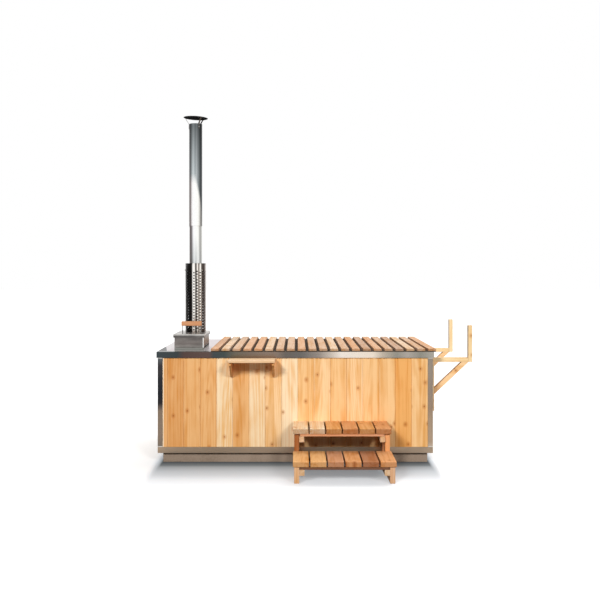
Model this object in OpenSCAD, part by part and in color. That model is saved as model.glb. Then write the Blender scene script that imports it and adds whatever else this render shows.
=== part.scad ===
// Wood-burning hot tub: an insulated metal tank clad with upright cedar boards, heated by a
// stove that stands in the water, with a roll-up slatted cover, brackets that hold the rolled
// cover, a small side shelf and a free-standing pair of steps.
// Sizes are in millimetres. X runs along the tub, Y from front to rear, Z up from the floor,
// and the origin is on the floor under the middle of the tub.

/* [Tub] */
// Length of the tub over its corner posts
tub_l = 2030; // [1980:5:2120]
// Width of the tub over its corner posts
tub_w = 1220; // [1190:5:1280]
// Height of the rim above the floor
tub_h = 820; // [790:5:860]
// Height of the recessed plinth
plinth_h = 73; // [60:1:90]
// Distance that the plinth stands back from the base rail
plinth_inset = 36; // [30:1:44]
// Thickness of each plinth board
plinth_t = 38; // [30:1:45]
// Number of bays between the cross bearers of the plinth
plinth_bays = 4; // [2:2:6]
// Height of the metal base rail
base_rail_h = 45; // [40:1:55]
// Thickness of the base rail's sheet
base_rail_t = 3; // [2:0.5:4]
// Height of the metal fascia round the rim
fascia_h = 45; // [38:1:55]
// Thickness of the rim's sheet
rim_t = 3; // [2:0.5:4]
// Distance that the rim stands out past the corner posts
rim_overhang = 8; // [5:1:12]
// Distance that the rim reaches in past the tank wall
rim_lip = 9; // [6:1:12]
// Width of each leg of the corner posts
post_w = 37; // [30:1:45]
// Thickness of the corner posts
post_t = 3; // [2:0.5:4]
// Gap left between pieces that butt or are joined by a weld
joint_gap = 0.4; // [0.3:0.1:0.6]

/* [Walls] */
// Thickness of the cladding boards
board_t = 19; // [16:1:24]
// Width that each cladding board covers
board_cover = 120; // [90:1:140]
// Gap left between neighbouring boards for swelling
board_gap = 0.6; // [0.4:0.1:1]
// Width of the bevel along each board's outer edges
board_bevel = 1.6; // [0.8:0.1:2.5]
// Thickness of the foam in the walls
foam_t = 30; // [20:1:35]
// Thickness of the tank's sheet
tank_t = 3; // [2:0.5:4]

/* [Stove] */
// Width of the stove's neck above the deck
neck_l = 217; // [205:1:225]
// Depth of the stove's neck from front to rear
neck_w = 412; // [400:1:415]
// Distance from the tub's left post face to the neck
neck_from_left = 114; // [108:1:120]
// Distance from the tub's front post face to the neck
neck_from_front = 71; // [69:1:75]
// Height of the neck's top above the rim
neck_rise = 125; // [110:1:150]
// Thickness of the neck's sheet
neck_t = 3; // [2:0.5:3.5]
// Height of the collar that the deck turns up round the neck
collar_h = 22; // [15:1:30]
// Gap between the deck's collar and the neck's skirt
collar_gap = 2; // [1:0.5:4]
// Height of the lip that the neck's top and the lid turn down
lip_h = 26; // [20:1:32]
// Distance that the lip stands out past the neck
lip_out = 8; // [7:0.5:10]
// Depth of the sliding lid from front to rear
lid_w = 200; // [185:1:205]
// Distance from the neck's front to the middle of the wooden grip
grip_from_front = 117; // [90:1:125]
// Length of the wooden grip on the lid
grip_l = 151; // [120:1:170]
// Height and thickness of the wooden grip
grip_h = 34; // [28:1:38]
// Height of the grip's underside above the lid
grip_rise = 55; // [45:1:70]
// Distance that the grip stands to the right of the neck's middle
grip_shift = 6; // [0:1:10]
// Width of the strips that hold the grip
strip_w = 24; // [16:1:30]
// Thickness of the strips that hold the grip
strip_t = 2.5; // [2:0.5:4]
// Length of the firebox from front to rear
firebox_w = 640; // [560:5:700]
// Width of the firebox
firebox_l = 262; // [256:1:266]
// Distance from the rim down to the firebox's top
firebox_drop = 61; // [50:1:90]
// Thickness of the firebox plates
firebox_t = 5; // [4:0.5:6]
// Height of the feet under the firebox
firebox_foot_h = 28; // [20:1:30]
// Number of bars in the fire grate
grate_bars = 8; // [5:1:9]
// Height of the fire grate above the firebox floor
grate_rise = 40; // [30:1:60]
// Thickness of the plate of the stove deck
deck_t = 3; // [2:0.5:4]
// Distance from the tub's left post face to the deck's inner edge
deck_l = 415; // [405:1:425]

/* [Chimney] */
// Distance from the neck's left side to the chimney's middle
flue_from_left = 126; // [120:1:130]
// Distance from the neck's rear to the chimney's middle
flue_from_rear = 127; // [118:1:128]
// Outside radius of the lower pipe
lower_r = 48; // [45:0.5:48.5]
// Outside radius of the upper pipe
upper_r = 50.6; // [50.4:0.1:52]
// Thickness of the pipes
pipe_t = 1.4; // [1:0.1:1.8]
// Height of the joint between the pipes above the rim
pipe_joint_rise = 946; // [800:1:1100]
// Height of the upper pipe
upper_h = 791; // [600:1:900]
// Length of the lower pipe inside the upper one
pipe_lap = 40; // [30:1:60]
// Outside radius of the perforated heat guard
guard_r = 80; // [74:1:84]
// Height of the heat guard
guard_h = 530; // [400:5:600]
// Thickness of the heat guard
guard_t = 1.5; // [1:0.1:2]
// Distance from the guard's top to its spacer screws
spacer_drop = 52; // [40:1:80]
// Height of the collar at the foot of the chimney
flue_collar_h = 60; // [40:1:80]
// Outside radius of the rain cap
cap_r = 94; // [85:1:105]
// Height of the rain cap's cone
cap_rise = 19; // [12:1:30]
// Height of the cap's edge above the upper pipe
cap_gap = 46; // [38:1:60]
// Tilt of the rain cap, left side up
cap_tilt = 2.4; // [0:0.1:4]
// Thickness of the rain cap
cap_t = 1.5; // [1:0.1:2]
// Width of the straps under the rain cap
strap_w = 12; // [8:1:16]
// Thickness of the straps under the rain cap
strap_t = 2; // [1.5:0.1:2.5]

/* [Cover] */
// Number of slats in the roll-up cover
slat_n = 21; // [17:1:21]
// Width of each slat
slat_w = 57; // [50:0.5:60]
// Thickness of each slat
slat_t = 16; // [13:0.5:18]
// Distance that the first slat reaches over the stove deck
cover_lap = 23; // [18:1:26]
// Thickness of the mat under the slats
mat_t = 6.5; // [5:0.1:7]
// Distance that the last slat stands past the rim's right-hand end
cover_overhang = 15; // [10:1:20]
// Distance that the slats' ends stand back from the rim's front and rear
cover_inset = 8; // [5:1:15]
// Largest fold between two slats, in degrees
fold_deg = 50; // [45:1:52]
// Gap between the mat strips of neighbouring slats
strip_gap = 0.3; // [0.2:0.1:0.4]

/* [Cover holder] */
// Thickness of the holder's bars seen from the front
bar_t = 33; // [28:1:38]
// Depth of the holder's bars from front to rear
bar_w = 40; // [34:1:50]
// Distance from the tub's middle to the middle of each bracket
holder_y = 420; // [350:5:480]
// Clear width for the rolled cover past the rim
roll_space = 285; // [280:1:310]
// Height of the arm's top below the rim
arm_drop = 60; // [50:1:75]
// Height of the upright above the arm's top
upright_rise = 244; // [180:1:300]
// Thickness of the upright
upright_t = 31; // [28:1:36]
// Thickness of the wall leg
holder_leg_t = 38; // [30:1:42]
// Length of the wall leg below the arm
holder_leg_h = 370; // [330:5:400]
// Drop of the brace's upper edge at the leg, below the arm
brace_drop = 195; // [170:1:220]
// Distance from the leg to the brace's upper edge at the arm
brace_reach = 207; // [180:1:215]
// Height of the brace's cut end on the leg
brace_h = 50; // [40:1:54]

/* [Shelf] */
// Length of the shelf
shelf_l = 338; // [300:1:400]
// Depth of the shelf from the wall
shelf_w = 180; // [150:1:220]
// Thickness of the shelf
shelf_t = 19; // [16:1:24]
// Distance from the tub's left post face to the shelf's left end
shelf_from_left = 530; // [480:1:560]
// Gap between the fascia and the shelf
shelf_drop = 1; // [0.5:0.5:5]
// Thickness of each shelf bracket
bracket_t = 16; // [12:1:20]
// Height of each shelf bracket
bracket_h = 120; // [90:1:150]
// Distance that each bracket stands in from the shelf's end
bracket_inset = 6; // [4:1:30]
// Distance that each bracket stops short of the shelf's front
bracket_setback = 24; // [15:1:40]

/* [Steps] */
// Width of each plank of the steps
plank_w = 107; // [95:1:110]
// Number of planks in each tread
plank_n = 6; // [5:1:7]
// Distance between the middles of neighbouring planks
plank_pitch = 116.6; // [112:0.1:120]
// Thickness of the planks
plank_t = 37; // [30:1:40]
// Distance from the tub's right post face to the right side of the steps
steps_from_right = 340; // [250:5:420]
// Gap between the cladding and the upper tread
steps_gap = 0.4; // [0.3:0.1:3]
// Depth of the upper tread
upper_tread_w = 325; // [280:5:360]
// Depth of the lower tread
lower_tread_w = 351; // [300:5:380]
// Depth of the lower tread that lies under the upper one
tread_lap = 25; // [15:1:40]
// Height of the upper tread
upper_tread_h = 309; // [290:1:340]
// Height of the lower tread
lower_tread_h = 148; // [140:1:165]
// Width of the side legs
step_leg_t = 35; // [28:1:40]
// Height of the cross rails under the planks
step_rail_h = 19; // [15:1:24]
// Depth of the cross rails under the planks
step_rail_w = 40; // [30:1:50]
// Distance that the front rails and legs stand back from the plank ends
step_setback = 10; // [6:1:20]
// Height of the side bearers
bearer_h = 40; // [34:1:44]
// Depth of the lower tread's legs
lower_leg_w = 200; // [120:5:220]
// Depth of the upper tread's legs
upper_leg_w = 90; // [60:5:110]

/* [Inside] */
// Thickness of the fence slats between the benches and the stove
fence_t = 19; // [16:1:22]
// Number of fence slats
fence_n = 10; // [8:1:11]
// Width of each fence slat
fence_slat_w = 90; // [70:1:92]
// Height and depth of the fence rails
fence_rail = 34; // [25:1:36]
// Height of the bench seats above the tank's floor
seat_h = 300; // [250:5:350]
// Width of each bench slat
seat_slat_w = 105; // [90:1:110]
// Number of slats in each bench
seat_slats = 3; // [2:1:3]
// Gap between the bench slats
seat_gap = 12; // [8:1:16]
// Thickness of the bench slats
seat_t = 27; // [22:1:32]
// Gap between the benches and the tank's sides
seat_clear = 14; // [8:1:30]
// Gap between the fence's rails and the bench beside it
fence_clear = 34; // [20:1:50]
// Side of the square bench legs
seat_leg = 38; // [30:1:45]
// Distance from the tub's middle to the bench frames
seat_frame_y = 400; // [300:5:450]

/* [Drain] */
// Distance from the tub's right post face to the drain
drain_from_right = 315; // [220:5:450]
// Outside radius of the drain pipe
drain_r = 16.5; // [15:0.5:18]
// Radius of the drain's bore
drain_bore_r = 12; // [10:0.5:13]
// Radius of the flange inside the tank
drain_flange_r = 28; // [24:1:32]
// Radius of the valve's body
valve_r = 25; // [23:0.5:28]
// Length of the valve's body
valve_l = 58; // [54:1:70]
// Radius of the valve's ball
ball_r = 18; // [16.5:0.5:19]
// Length of the valve's lever
lever_l = 105; // [80:1:130]
// Width of the valve's lever
lever_w = 16; // [12:1:20]
// Thickness of the valve's lever
lever_t = 3; // [2.5:0.5:4]
// Length of the drain's outlet
outlet_l = 22; // [18:1:35]
// Distance from the boards to the valve's body
valve_gap = 16; // [12:1:24]
// Height of the lever above the valve's body
lever_rise = 9; // [7:1:14]

/* [Hidden] */
$fn = 64;
// Clearance round a turning piece, and where curved faces pass one another
turn_gap = 0.3;
// Radius and height of the screw heads
screw_head_r = 7;
screw_head_h = 4;
small_head_r = 4;
small_head_h = 1.6;
// Length by which a cut runs past the face that it opens
over = 1;

// Faces of the tub, from the outside in, measured from its middle
tub_x = tub_l / 2;
tub_y = tub_w / 2;
rim_x = tub_x + rim_overhang;
rim_y = tub_y + rim_overhang;
board_x = tub_x - post_t;
board_y = tub_y - post_t;
foam_x = board_x - board_t;
foam_y = board_y - board_t;
tank_x = foam_x - foam_t;
tank_y = foam_y - foam_t;
well_x = tank_x - tank_t;
well_y = tank_y - tank_t;
hole_x = well_x - rim_lip;
hole_y = well_y - rim_lip;

// Levels of the tub
rail_top = plinth_h + base_rail_h;
floor_top = rail_top + tank_t;
wall_top = tub_h - rim_t;
fascia_z = tub_h - fascia_h;

// Places of the stove
deck_x1 = deck_l - tub_x;
neck_x0 = neck_from_left - tub_x;
neck_x1 = neck_x0 + neck_l;
neck_y0 = neck_from_front - tub_y;
neck_y1 = neck_y0 + neck_w;
neck_top = tub_h + neck_rise;
skirt_z = tub_h + collar_h + collar_gap;
lid_y0 = neck_y0 - lip_out;
lid_y1 = lid_y0 + lid_w;
neck_mid_x = (neck_x0 + neck_x1) / 2;
firebox_x0 = neck_mid_x - firebox_l / 2;
firebox_y0 = neck_y0 - firebox_t;
firebox_z0 = floor_top + firebox_foot_h;
firebox_z1 = tub_h - firebox_drop;
firebox_foot = 40;
grate_bar = 12;
grate_side_gap = 6;
grate_end_gap = 20;
grate_foot_in = 60;
flue_x = neck_x0 + flue_from_left;
flue_y = neck_y1 - flue_from_rear;
joint_z = tub_h + pipe_joint_rise;
pipe_top = joint_z + upper_h;
cap_z = pipe_top + cap_gap;
spacer_z = neck_top + guard_h - spacer_drop;
spacer_angles = [-50, 70, 190];
strap_angles = [180, -55, 55];
grip_y = neck_y0 + grip_from_front;
grip_x0 = neck_mid_x - grip_l / 2 + grip_shift;
grip_ease = 3;
strip_inset = 6;
bead_h = 4;
spacer_r = 3;
flue_flange_w = 10;
flue_collar_t = 3;
strap_foot = 40;
strap_inset = 12;
strap_pad = 10;

// Places of the cover
cover_x1 = rim_x + cover_overhang;
cover_x0 = deck_x1 - cover_lap;
slat_pitch = (cover_x1 - cover_x0 - slat_w) / (slat_n - 1);
cover_y = rim_y - cover_inset;

slat_ease = 1.5;

// Places of the cover holder
arm_top = tub_h - arm_drop;
arm_z = arm_top - bar_t;
holder_x0 = board_x;
holder_x1 = holder_x0 + holder_leg_t;
upright_x = rim_x + roll_space;
leg_screws = [25, 75];

// Places of the shelf
shelf_top = fascia_z - shelf_drop;
shelf_x0 = shelf_from_left - tub_x;
shelf_x1 = shelf_x0 + shelf_l;
bracket_nose = 20;

// Places of the steps
steps_x1 = tub_x - steps_from_right;
steps_x0 = steps_x1 - (plank_n - 1) * plank_pitch - plank_w;
steps_mid_x = (steps_x0 + steps_x1) / 2;
upper_y1 = -(board_y + steps_gap);
upper_y0 = upper_y1 - upper_tread_w;
lower_y1 = upper_y0 + tread_lap;
lower_y0 = lower_y1 - lower_tread_w;
plank_ease = 5;
leg_inset = 8;
leg_x0 = steps_x0 + leg_inset;
leg_x1 = steps_x1 - leg_inset;
notch = 4;

// Places inside the tank
fence_z1 = tub_h - deck_t - over;
fence_y = well_y - 4;
fence_rail_in = 130;
bench_w = seat_slats * seat_slat_w + (seat_slats - 1) * seat_gap;
bench_x = [deck_x1 + fence_clear, well_x - seat_clear - bench_w];
seat_top = floor_top + seat_h;

// Places of the drain
drain_x = tub_x - drain_from_right;
drain_flange_t = 4;
drain_z = floor_top + drain_flange_r + 2;
lock_nut_h = 8;
valve_y = board_y + valve_gap;
ball_y = valve_y + valve_l / 2;
outlet_y = valve_y + valve_l;
stem_r = 5;
stem_gap = 0.08;
gland_t = 5;
lever_nut_h = 4;
lever_z = drain_z + valve_r + lever_rise;

// Name of a slat of the cover, counted from the stove end
function slat_name(i) = str("cover_slat_", i < 10 ? "0" : "", i);

// A box given by its lowest and highest corners
module box(a, b) {
    translate(a) cube(b - a);
}

// Copies of the children at plus and minus a distance along X
module both_x() {
    children();
    mirror([1, 0, 0]) children();
}

// Copies of the children at plus and minus a distance along Y
module both_y() {
    children();
    mirror([0, 1, 0]) children();
}

// A rectangular tube with its sides along X and Y
module box_tube(a, b, t) {
    difference() {
        box(a, b);
        box([a.x + t, a.y + t, a.z - over], [b.x - t, b.y - t, b.z + over]);
    }
}

// A round tube standing on a level
module pipe(r, bore_r, z0, z1) {
    translate([0, 0, z0]) difference() {
        cylinder(r = r, h = z1 - z0);
        translate([0, 0, -over]) cylinder(r = bore_r, h = z1 - z0 + 2 * over);
    }
}

// Outline of one board with bevelled outer edges, its outer face on y = 0
module board_outline(w) {
    polygon([[0, board_bevel], [board_bevel, 0], [w - board_bevel, 0], [w, board_bevel],
             [w, board_t], [0, board_t]]);
}

// Right-hand edges of the boards in a row of length l, which starts with a narrow board
function board_edges(l) = concat([0], [for (e = [post_w - post_t : board_cover : l - 2]) e]);

// A row of upright boards of length l that ends at x = 0 and runs to the left
module board_row(l) {
    edges = board_edges(l);
    for (i = [0 : len(edges) - 1]) {
        left = i + 1 < len(edges) ? edges[i + 1] : l;
        w = left - edges[i] - board_gap;
        translate([-edges[i] - board_gap / 2 - w, 0, rail_top])
            linear_extrude(wall_top - rail_top) board_outline(w);
    }
}

module plinth() color("dimgray") {
    x = tub_x - plinth_inset;
    y = tub_y - plinth_inset;
    both_y() box([-x, -y, 0], [x, -y + plinth_t, plinth_h]);
    both_x() box([-x, -y + plinth_t + joint_gap, 0],
                 [-x + plinth_t, y - plinth_t - joint_gap, plinth_h]);
    bay = 2 * (x - plinth_t / 2) / plinth_bays;
    for (i = [1 : plinth_bays - 1])
        translate([-x + plinth_t / 2 + i * bay, 0, 0])
            box([-plinth_t / 2, -y + plinth_t + joint_gap, 0],
                [plinth_t / 2, y - plinth_t - joint_gap, plinth_h]);
}

// One channel of the base rail along the front, open towards the tank
module rail_channel(l) {
    w = tub_y - tank_y - joint_gap;
    translate([-l / 2, 0, plinth_h]) difference() {
        cube([l, w, base_rail_h]);
        translate([-over, base_rail_t, base_rail_t])
            cube([l + 2 * over, w, base_rail_h - 2 * base_rail_t]);
    }
}

module base_rail() color("gray") {
    both_y() translate([0, -tub_y, 0]) rail_channel(tub_l);
    side = 2 * (tank_y - joint_gap);
    both_x() rotate(-90) translate([0, -tub_x, 0]) rail_channel(side);
}

module corner_posts() color("lightslategray") {
    both_x() both_y() translate([-tub_x, -tub_y, rail_top])
        linear_extrude(wall_top - rail_top) difference() {
            square(post_w);
            translate([post_t, post_t]) square(post_w);
        }
}

module cladding_front() color("burlywood") {
    translate([board_x, -board_y, 0]) board_row(2 * board_x);
}

module cladding_back() color("burlywood") {
    difference() {
        rotate(180) translate([board_x, -board_y, 0]) board_row(2 * board_x);
        drain_hole();
    }
}

module cladding_ends() color("burlywood") {
    both_x() rotate(90) translate([foam_y, -board_x, 0]) board_row(2 * foam_y);
}

// Passage for the drain pipe through the rear wall
module drain_hole() {
    translate([drain_x, well_y - over, drain_z]) rotate([-90, 0, 0])
        cylinder(r = drain_r + turn_gap, h = board_y - well_y + 2 * over);
}

module insulation() color("khaki") {
    box([-foam_x, -foam_y, rail_top], [foam_x, -tank_y, wall_top]);
    difference() {
        box([-foam_x, tank_y, rail_top], [foam_x, foam_y, wall_top]);
        drain_hole();
    }
    both_x() box([-foam_x, -tank_y + joint_gap, rail_top],
                 [-tank_x, tank_y - joint_gap, wall_top]);
    box([-tank_x, -tank_y, plinth_h], [tank_x, tank_y, rail_top]);
}

module tank() color("silver") {
    difference() {
        box([-tank_x, -tank_y, rail_top], [tank_x, tank_y, wall_top]);
        box([-well_x, -well_y, floor_top], [well_x, well_y, wall_top + over]);
        drain_hole();
    }
}

// One angle of the rim along the front: a fascia and a flange over the wall
module rim_angle(l, reach) {
    translate([-l / 2, 0, 0]) {
        translate([0, 0, fascia_z]) cube([l, rim_t, fascia_h]);
        translate([0, 0, wall_top]) cube([l, reach, rim_t]);
    }
}

module top_rim() color("lightsteelblue") {
    both_y() translate([0, -rim_y, 0]) rim_angle(2 * rim_x, rim_y - hole_y);
    side = 2 * (hole_y - joint_gap);
    both_x() translate([-rim_x, 0, 0]) rotate(-90) {
        translate([-side / 2, 0, wall_top]) cube([side, rim_x - hole_x, rim_t]);
        fascia = 2 * (rim_y - rim_t - joint_gap);
        translate([-fascia / 2, 0, fascia_z]) cube([fascia, rim_t, fascia_h - rim_t - joint_gap]);
    }
}

module stove_deck() color("gainsboro") {
    x0 = -hole_x + joint_gap;
    y = hole_y - joint_gap;
    ring = neck_t - joint_gap;
    difference() {
        union() {
            box([x0, -y, tub_h - deck_t], [deck_x1, y, tub_h]);
            box([neck_x0, neck_y0, tub_h - deck_t], [neck_x1, neck_y1, tub_h + collar_h]);
        }
        box([neck_x0 + ring, neck_y0 + ring, tub_h - deck_t - over],
            [neck_x1 - ring, neck_y1 - ring, tub_h + collar_h + over]);
    }
}

module firebox() color("darkslategray") {
    x1 = firebox_x0 + firebox_l;
    y1 = firebox_y0 + firebox_w;
    difference() {
        box([firebox_x0, firebox_y0, firebox_z0], [x1, y1, firebox_z1]);
        box([firebox_x0 + firebox_t, firebox_y0 + firebox_t, firebox_z0 + firebox_t],
            [x1 - firebox_t, y1 - firebox_t, firebox_z1 - firebox_t]);
        box([neck_x0 + neck_t - joint_gap, neck_y0 + neck_t - joint_gap,
             firebox_z1 - firebox_t - over],
            [neck_x1 - neck_t + joint_gap, neck_y1 - neck_t + joint_gap, firebox_z1 + over]);
    }
    for (x = [firebox_x0, x1 - firebox_foot])
        for (y = [firebox_y0 + firebox_foot, y1 - 2 * firebox_foot])
            box([x, y, floor_top], [x + firebox_foot, y + firebox_foot, firebox_z0]);
}

module stove_neck() color("darkgray") {
    // Sleeve from the firebox to the top, thicker above the deck's collar
    low = [neck_x0 + neck_t, neck_y0 + neck_t, firebox_z1 - firebox_t];
    high = [neck_x1 - neck_t, neck_y1 - neck_t, neck_top - neck_t];
    box_tube(low, high, neck_t);
    box_tube([neck_x0, neck_y0, skirt_z], [neck_x1, neck_y1, neck_top - neck_t], 2 * neck_t);
    // Fixed top behind the lid, with a lip turned down on three sides
    y0 = lid_y1 + joint_gap;
    a = [neck_x0 - lip_out, y0, neck_top - lip_h];
    b = [neck_x1 + lip_out, neck_y1 + lip_out, neck_top];
    difference() {
        box(a, b);
        box([a.x + neck_t, y0 - over, a.z - over], [b.x - neck_t, b.y - neck_t, neck_top - neck_t]);
        translate([flue_x, flue_y, neck_top - 2 * neck_t])
            cylinder(r = lower_r - pipe_t, h = 3 * neck_t);
    }
}

module fire_grate() color("black") {
    bar = grate_bar;
    x0 = firebox_x0 + firebox_t + grate_side_gap;
    x1 = firebox_x0 + firebox_l - firebox_t - grate_side_gap;
    y0 = firebox_y0 + firebox_t + grate_end_gap;
    y1 = firebox_y0 + firebox_w - firebox_t - grate_end_gap;
    z = firebox_z0 + firebox_t + grate_rise;
    pitch = (x1 - x0 - bar) / (grate_bars - 1);
    for (i = [0 : grate_bars - 1])
        box([x0 + i * pitch, y0, z], [x0 + i * pitch + bar, y1, z + bar]);
    for (y = [y0 + grate_foot_in, y1 - grate_foot_in - bar]) {
        box([x0, y, z - bar / 2], [x1, y + bar, z + bar / 2]);
        for (x = [x0, x1 - bar])
            box([x, y, firebox_z0 + firebox_t], [x + bar, y + bar, z]);
    }
}

module stove_lid() color("darkgray") {
    a = [neck_x0 - lip_out, lid_y0, neck_top - lip_h];
    b = [neck_x1 + lip_out, lid_y1, neck_top];
    difference() {
        box(a, b);
        box([a.x + neck_t, a.y + neck_t, a.z - over], [b.x - neck_t, b.y + over, neck_top - neck_t]);
    }
}

module lid_grip() color("sandybrown") {
    e = grip_ease;
    s = grip_h;
    translate([grip_x0, grip_y - s / 2, neck_top + grip_rise])
        rotate([90, 0, 90]) linear_extrude(grip_l)
            polygon([[e, 0], [s - e, 0], [s, e], [s, s - e], [s - e, s], [e, s], [0, s - e], [0, e]]);
}

module grip_strips() color("silver") {
    for (x = [grip_x0 + strip_inset, grip_x0 + grip_l - strip_inset - strip_t])
        box([x, grip_y - strip_w / 2, neck_top],
            [x + strip_t, grip_y + strip_w / 2, neck_top + grip_rise]);
}

module flue_collar() color("silver") {
    translate([flue_x, flue_y, 0]) {
        pipe(lower_r + flue_flange_w, lower_r + turn_gap, neck_top, neck_top + flue_collar_t);
        pipe(lower_r + flue_collar_t, lower_r + turn_gap, neck_top, neck_top + flue_collar_h);
    }
}

module chimney_lower() color("silver") {
    translate([flue_x, flue_y, 0]) {
        pipe(lower_r, lower_r - pipe_t, neck_top, joint_z + pipe_lap);
        pipe(upper_r, lower_r - pipe_t, joint_z - bead_h, joint_z);
    }
}

module chimney_upper() color("silver") {
    translate([flue_x, flue_y, 0]) pipe(upper_r, upper_r - pipe_t, joint_z, pipe_top);
}

module heat_guard() color("silver") {
    translate([flue_x, flue_y, 0]) difference() {
        pipe(guard_r, guard_r - guard_t, neck_top, neck_top + guard_h);
        for (a = spacer_angles)
            translate([0, 0, spacer_z]) rotate([0, 90, a])
                cylinder(r = spacer_r + turn_gap, h = guard_r + over);
    }
}

module guard_spacers() color("gray") {
    translate([flue_x, flue_y, spacer_z]) for (a = spacer_angles) rotate([0, 90, a]) {
        translate([0, 0, lower_r + turn_gap])
            cylinder(r = 2 * spacer_r, h = guard_r - guard_t - lower_r - 2 * turn_gap);
        translate([0, 0, guard_r - guard_t - turn_gap - over])
            cylinder(r = spacer_r, h = guard_t + 2 * turn_gap + 2 * over);
        translate([0, 0, guard_r + turn_gap]) cylinder(r = 2 * spacer_r, h = spacer_r);
    }
}

module rain_cap() color("dimgray") {
    translate([flue_x, flue_y, cap_z]) rotate([0, cap_tilt, 0]) rotate_extrude($fn = 96)
        polygon([[0, cap_rise], [0, cap_rise - cap_t], [cap_r, 0], [cap_r, cap_t]]);
}

module cap_straps() color("gray") {
    foot = pipe_top - strap_foot;
    r0 = upper_r + turn_gap;
    r1 = cap_r - strap_inset;
    r2 = r1 + strap_pad;
    for (a = strap_angles) {
        // The strap's head meets the sloping underside of the tilted cap
        under = cap_z - r2 * cos(a) * sin(cap_tilt) + (cap_rise - cap_t) * (1 - r2 / cap_r);
        top = under - 2 * turn_gap;
        translate([flue_x, flue_y, 0]) rotate([90, 0, a])
            translate([0, 0, -strap_w / 2]) linear_extrude(strap_w)
                polygon([[r0, foot], [r0 + strap_t, foot], [r0 + strap_t, pipe_top],
                         [r1 + strap_t, top - strap_t], [r2, top - strap_t], [r2, top],
                         [r1, top], [r0, pipe_top + strap_t]]);
    }
}

module stove_fence() color("peru") {
    pitch = (2 * fence_y - fence_slat_w) / (fence_n - 1);
    for (i = [0 : fence_n - 1])
        translate([0, -fence_y + i * pitch, 0])
            box([deck_x1 - fence_t, 0, floor_top], [deck_x1, fence_slat_w, fence_z1]);
    x = deck_x1 - fence_t - joint_gap;
    for (z = [floor_top + fence_rail_in, fence_z1 - fence_rail_in - fence_rail])
        box([x - fence_rail, -fence_y, z], [x, fence_y, z + fence_rail]);
}

module bench_seats() color("peru") {
    y = well_y - seat_clear;
    for (x = bench_x) for (i = [0 : seat_slats - 1])
        translate([x + i * (seat_slat_w + seat_gap), 0, 0])
            box([0, -y, seat_top - seat_t], [seat_slat_w, y, seat_top]);
}

module bench_frames() color("saddlebrown") {
    z = seat_top - seat_t - seat_leg;
    for (x = bench_x) for (y = [-seat_frame_y, seat_frame_y - seat_leg]) translate([x, y, 0]) {
        box([0, 0, z], [bench_w, seat_leg, z + seat_leg]);
        for (s = [0, bench_w - seat_leg])
            translate([s, 0, 0]) box([0, 0, floor_top], [seat_leg, seat_leg, z - joint_gap]);
    }
}

module drain_fitting() color("goldenrod") {
    translate([drain_x, 0, drain_z]) difference() {
        union() {
            // Flange and pipe through the wall
            rod_y(drain_flange_r, well_y - drain_flange_t, well_y);
            rod_y(drain_r, well_y, valve_y);
            // Lock nut against the boards
            rod_y(drain_r + lock_nut_h, board_y, board_y + lock_nut_h, $fn = 6);
            // Body of the valve, its outlet and the gland round its stem
            rod_y(valve_r, valve_y, outlet_y);
            rod_y(drain_r, outlet_y, outlet_y + outlet_l);
            translate([0, ball_y, 0]) cylinder(r = stem_r + gland_t, h = valve_r + gland_t);
        }
        rod_y(drain_bore_r, well_y - drain_flange_t - over, outlet_y + outlet_l + over);
        translate([0, ball_y, 0]) sphere(r = ball_r + turn_gap);
        translate([0, ball_y, 0]) cylinder(r = stem_r + stem_gap, h = valve_r + gland_t + over);
    }
}

// A cylinder that runs from y0 to y1
module rod_y(r, y0, y1) {
    translate([0, y0, 0]) rotate([-90, 0, 0]) cylinder(r = r, h = y1 - y0);
}

module valve_ball() color("silver") {
    translate([drain_x, ball_y, drain_z]) difference() {
        union() {
            sphere(r = ball_r);
            cylinder(r = stem_r, h = lever_z - drain_z);
        }
        translate([-ball_r - over, 0, 0]) rotate([0, 90, 0])
            cylinder(r = drain_bore_r, h = 2 * (ball_r + over));
    }
}

module valve_lever() color("firebrick") {
    translate([drain_x, ball_y, lever_z]) {
        translate([-lever_w / 2, -lever_w / 2, 0]) cube([lever_l, lever_w, lever_t]);
        translate([0, 0, lever_t]) cylinder(r = stem_r, h = lever_nut_h, $fn = 6);
    }
}

module shelf_board() color("burlywood") {
    box([shelf_x0, -board_y - shelf_w, shelf_top - shelf_t], [shelf_x1, -board_y, shelf_top]);
}

module shelf_brackets() color("burlywood") {
    w = shelf_w - bracket_setback;
    for (x = [shelf_x0 + bracket_inset, shelf_x1 - bracket_inset - bracket_t])
        translate([x, -board_y, shelf_top - shelf_t]) rotate([90, 0, 90])
            linear_extrude(bracket_t)
                polygon([[0, 0], [-w, 0], [-w, -bracket_nose], [-bracket_t, -bracket_h],
                         [0, -bracket_h]]);
}

// Places its children at the front and the rear bracket of the cover holder
module at_holders() {
    for (s = [-1, 1]) translate([0, s * holder_y - bar_w / 2, 0]) children();
}

module holder_legs() color("wheat") {
    at_holders() box([holder_x0, 0, arm_z - holder_leg_h], [holder_x1, bar_w, arm_z]);
}

module holder_arms() color("wheat") {
    at_holders() box([holder_x0, 0, arm_z], [upright_x, bar_w, arm_top]);
}

module holder_uprights() color("wheat") {
    at_holders() box([upright_x, 0, arm_z], [upright_x + upright_t, bar_w, arm_top + upright_rise]);
}

module holder_braces() color("wheat") {
    top_w = brace_h * brace_reach / brace_drop;
    at_holders() translate([holder_x1, bar_w, arm_z]) rotate([90, 0, 0]) linear_extrude(bar_w)
        polygon([[0, -brace_drop], [brace_reach, 0], [brace_reach + top_w, 0],
                 [0, -brace_drop - brace_h]]);
}

// The planks of one tread
module tread(y0, y1, top) {
    e = plank_ease;
    for (i = [0 : plank_n - 1])
        translate([steps_x0 + i * plank_pitch + plank_w, 0, top - plank_t])
            rotate([90, 0, -90]) linear_extrude(plank_w)
                polygon([[-y1, 0], [-y0, 0], [-y0, plank_t - e], [-y0 - e, plank_t], [-y1, plank_t]]);
}

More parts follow.
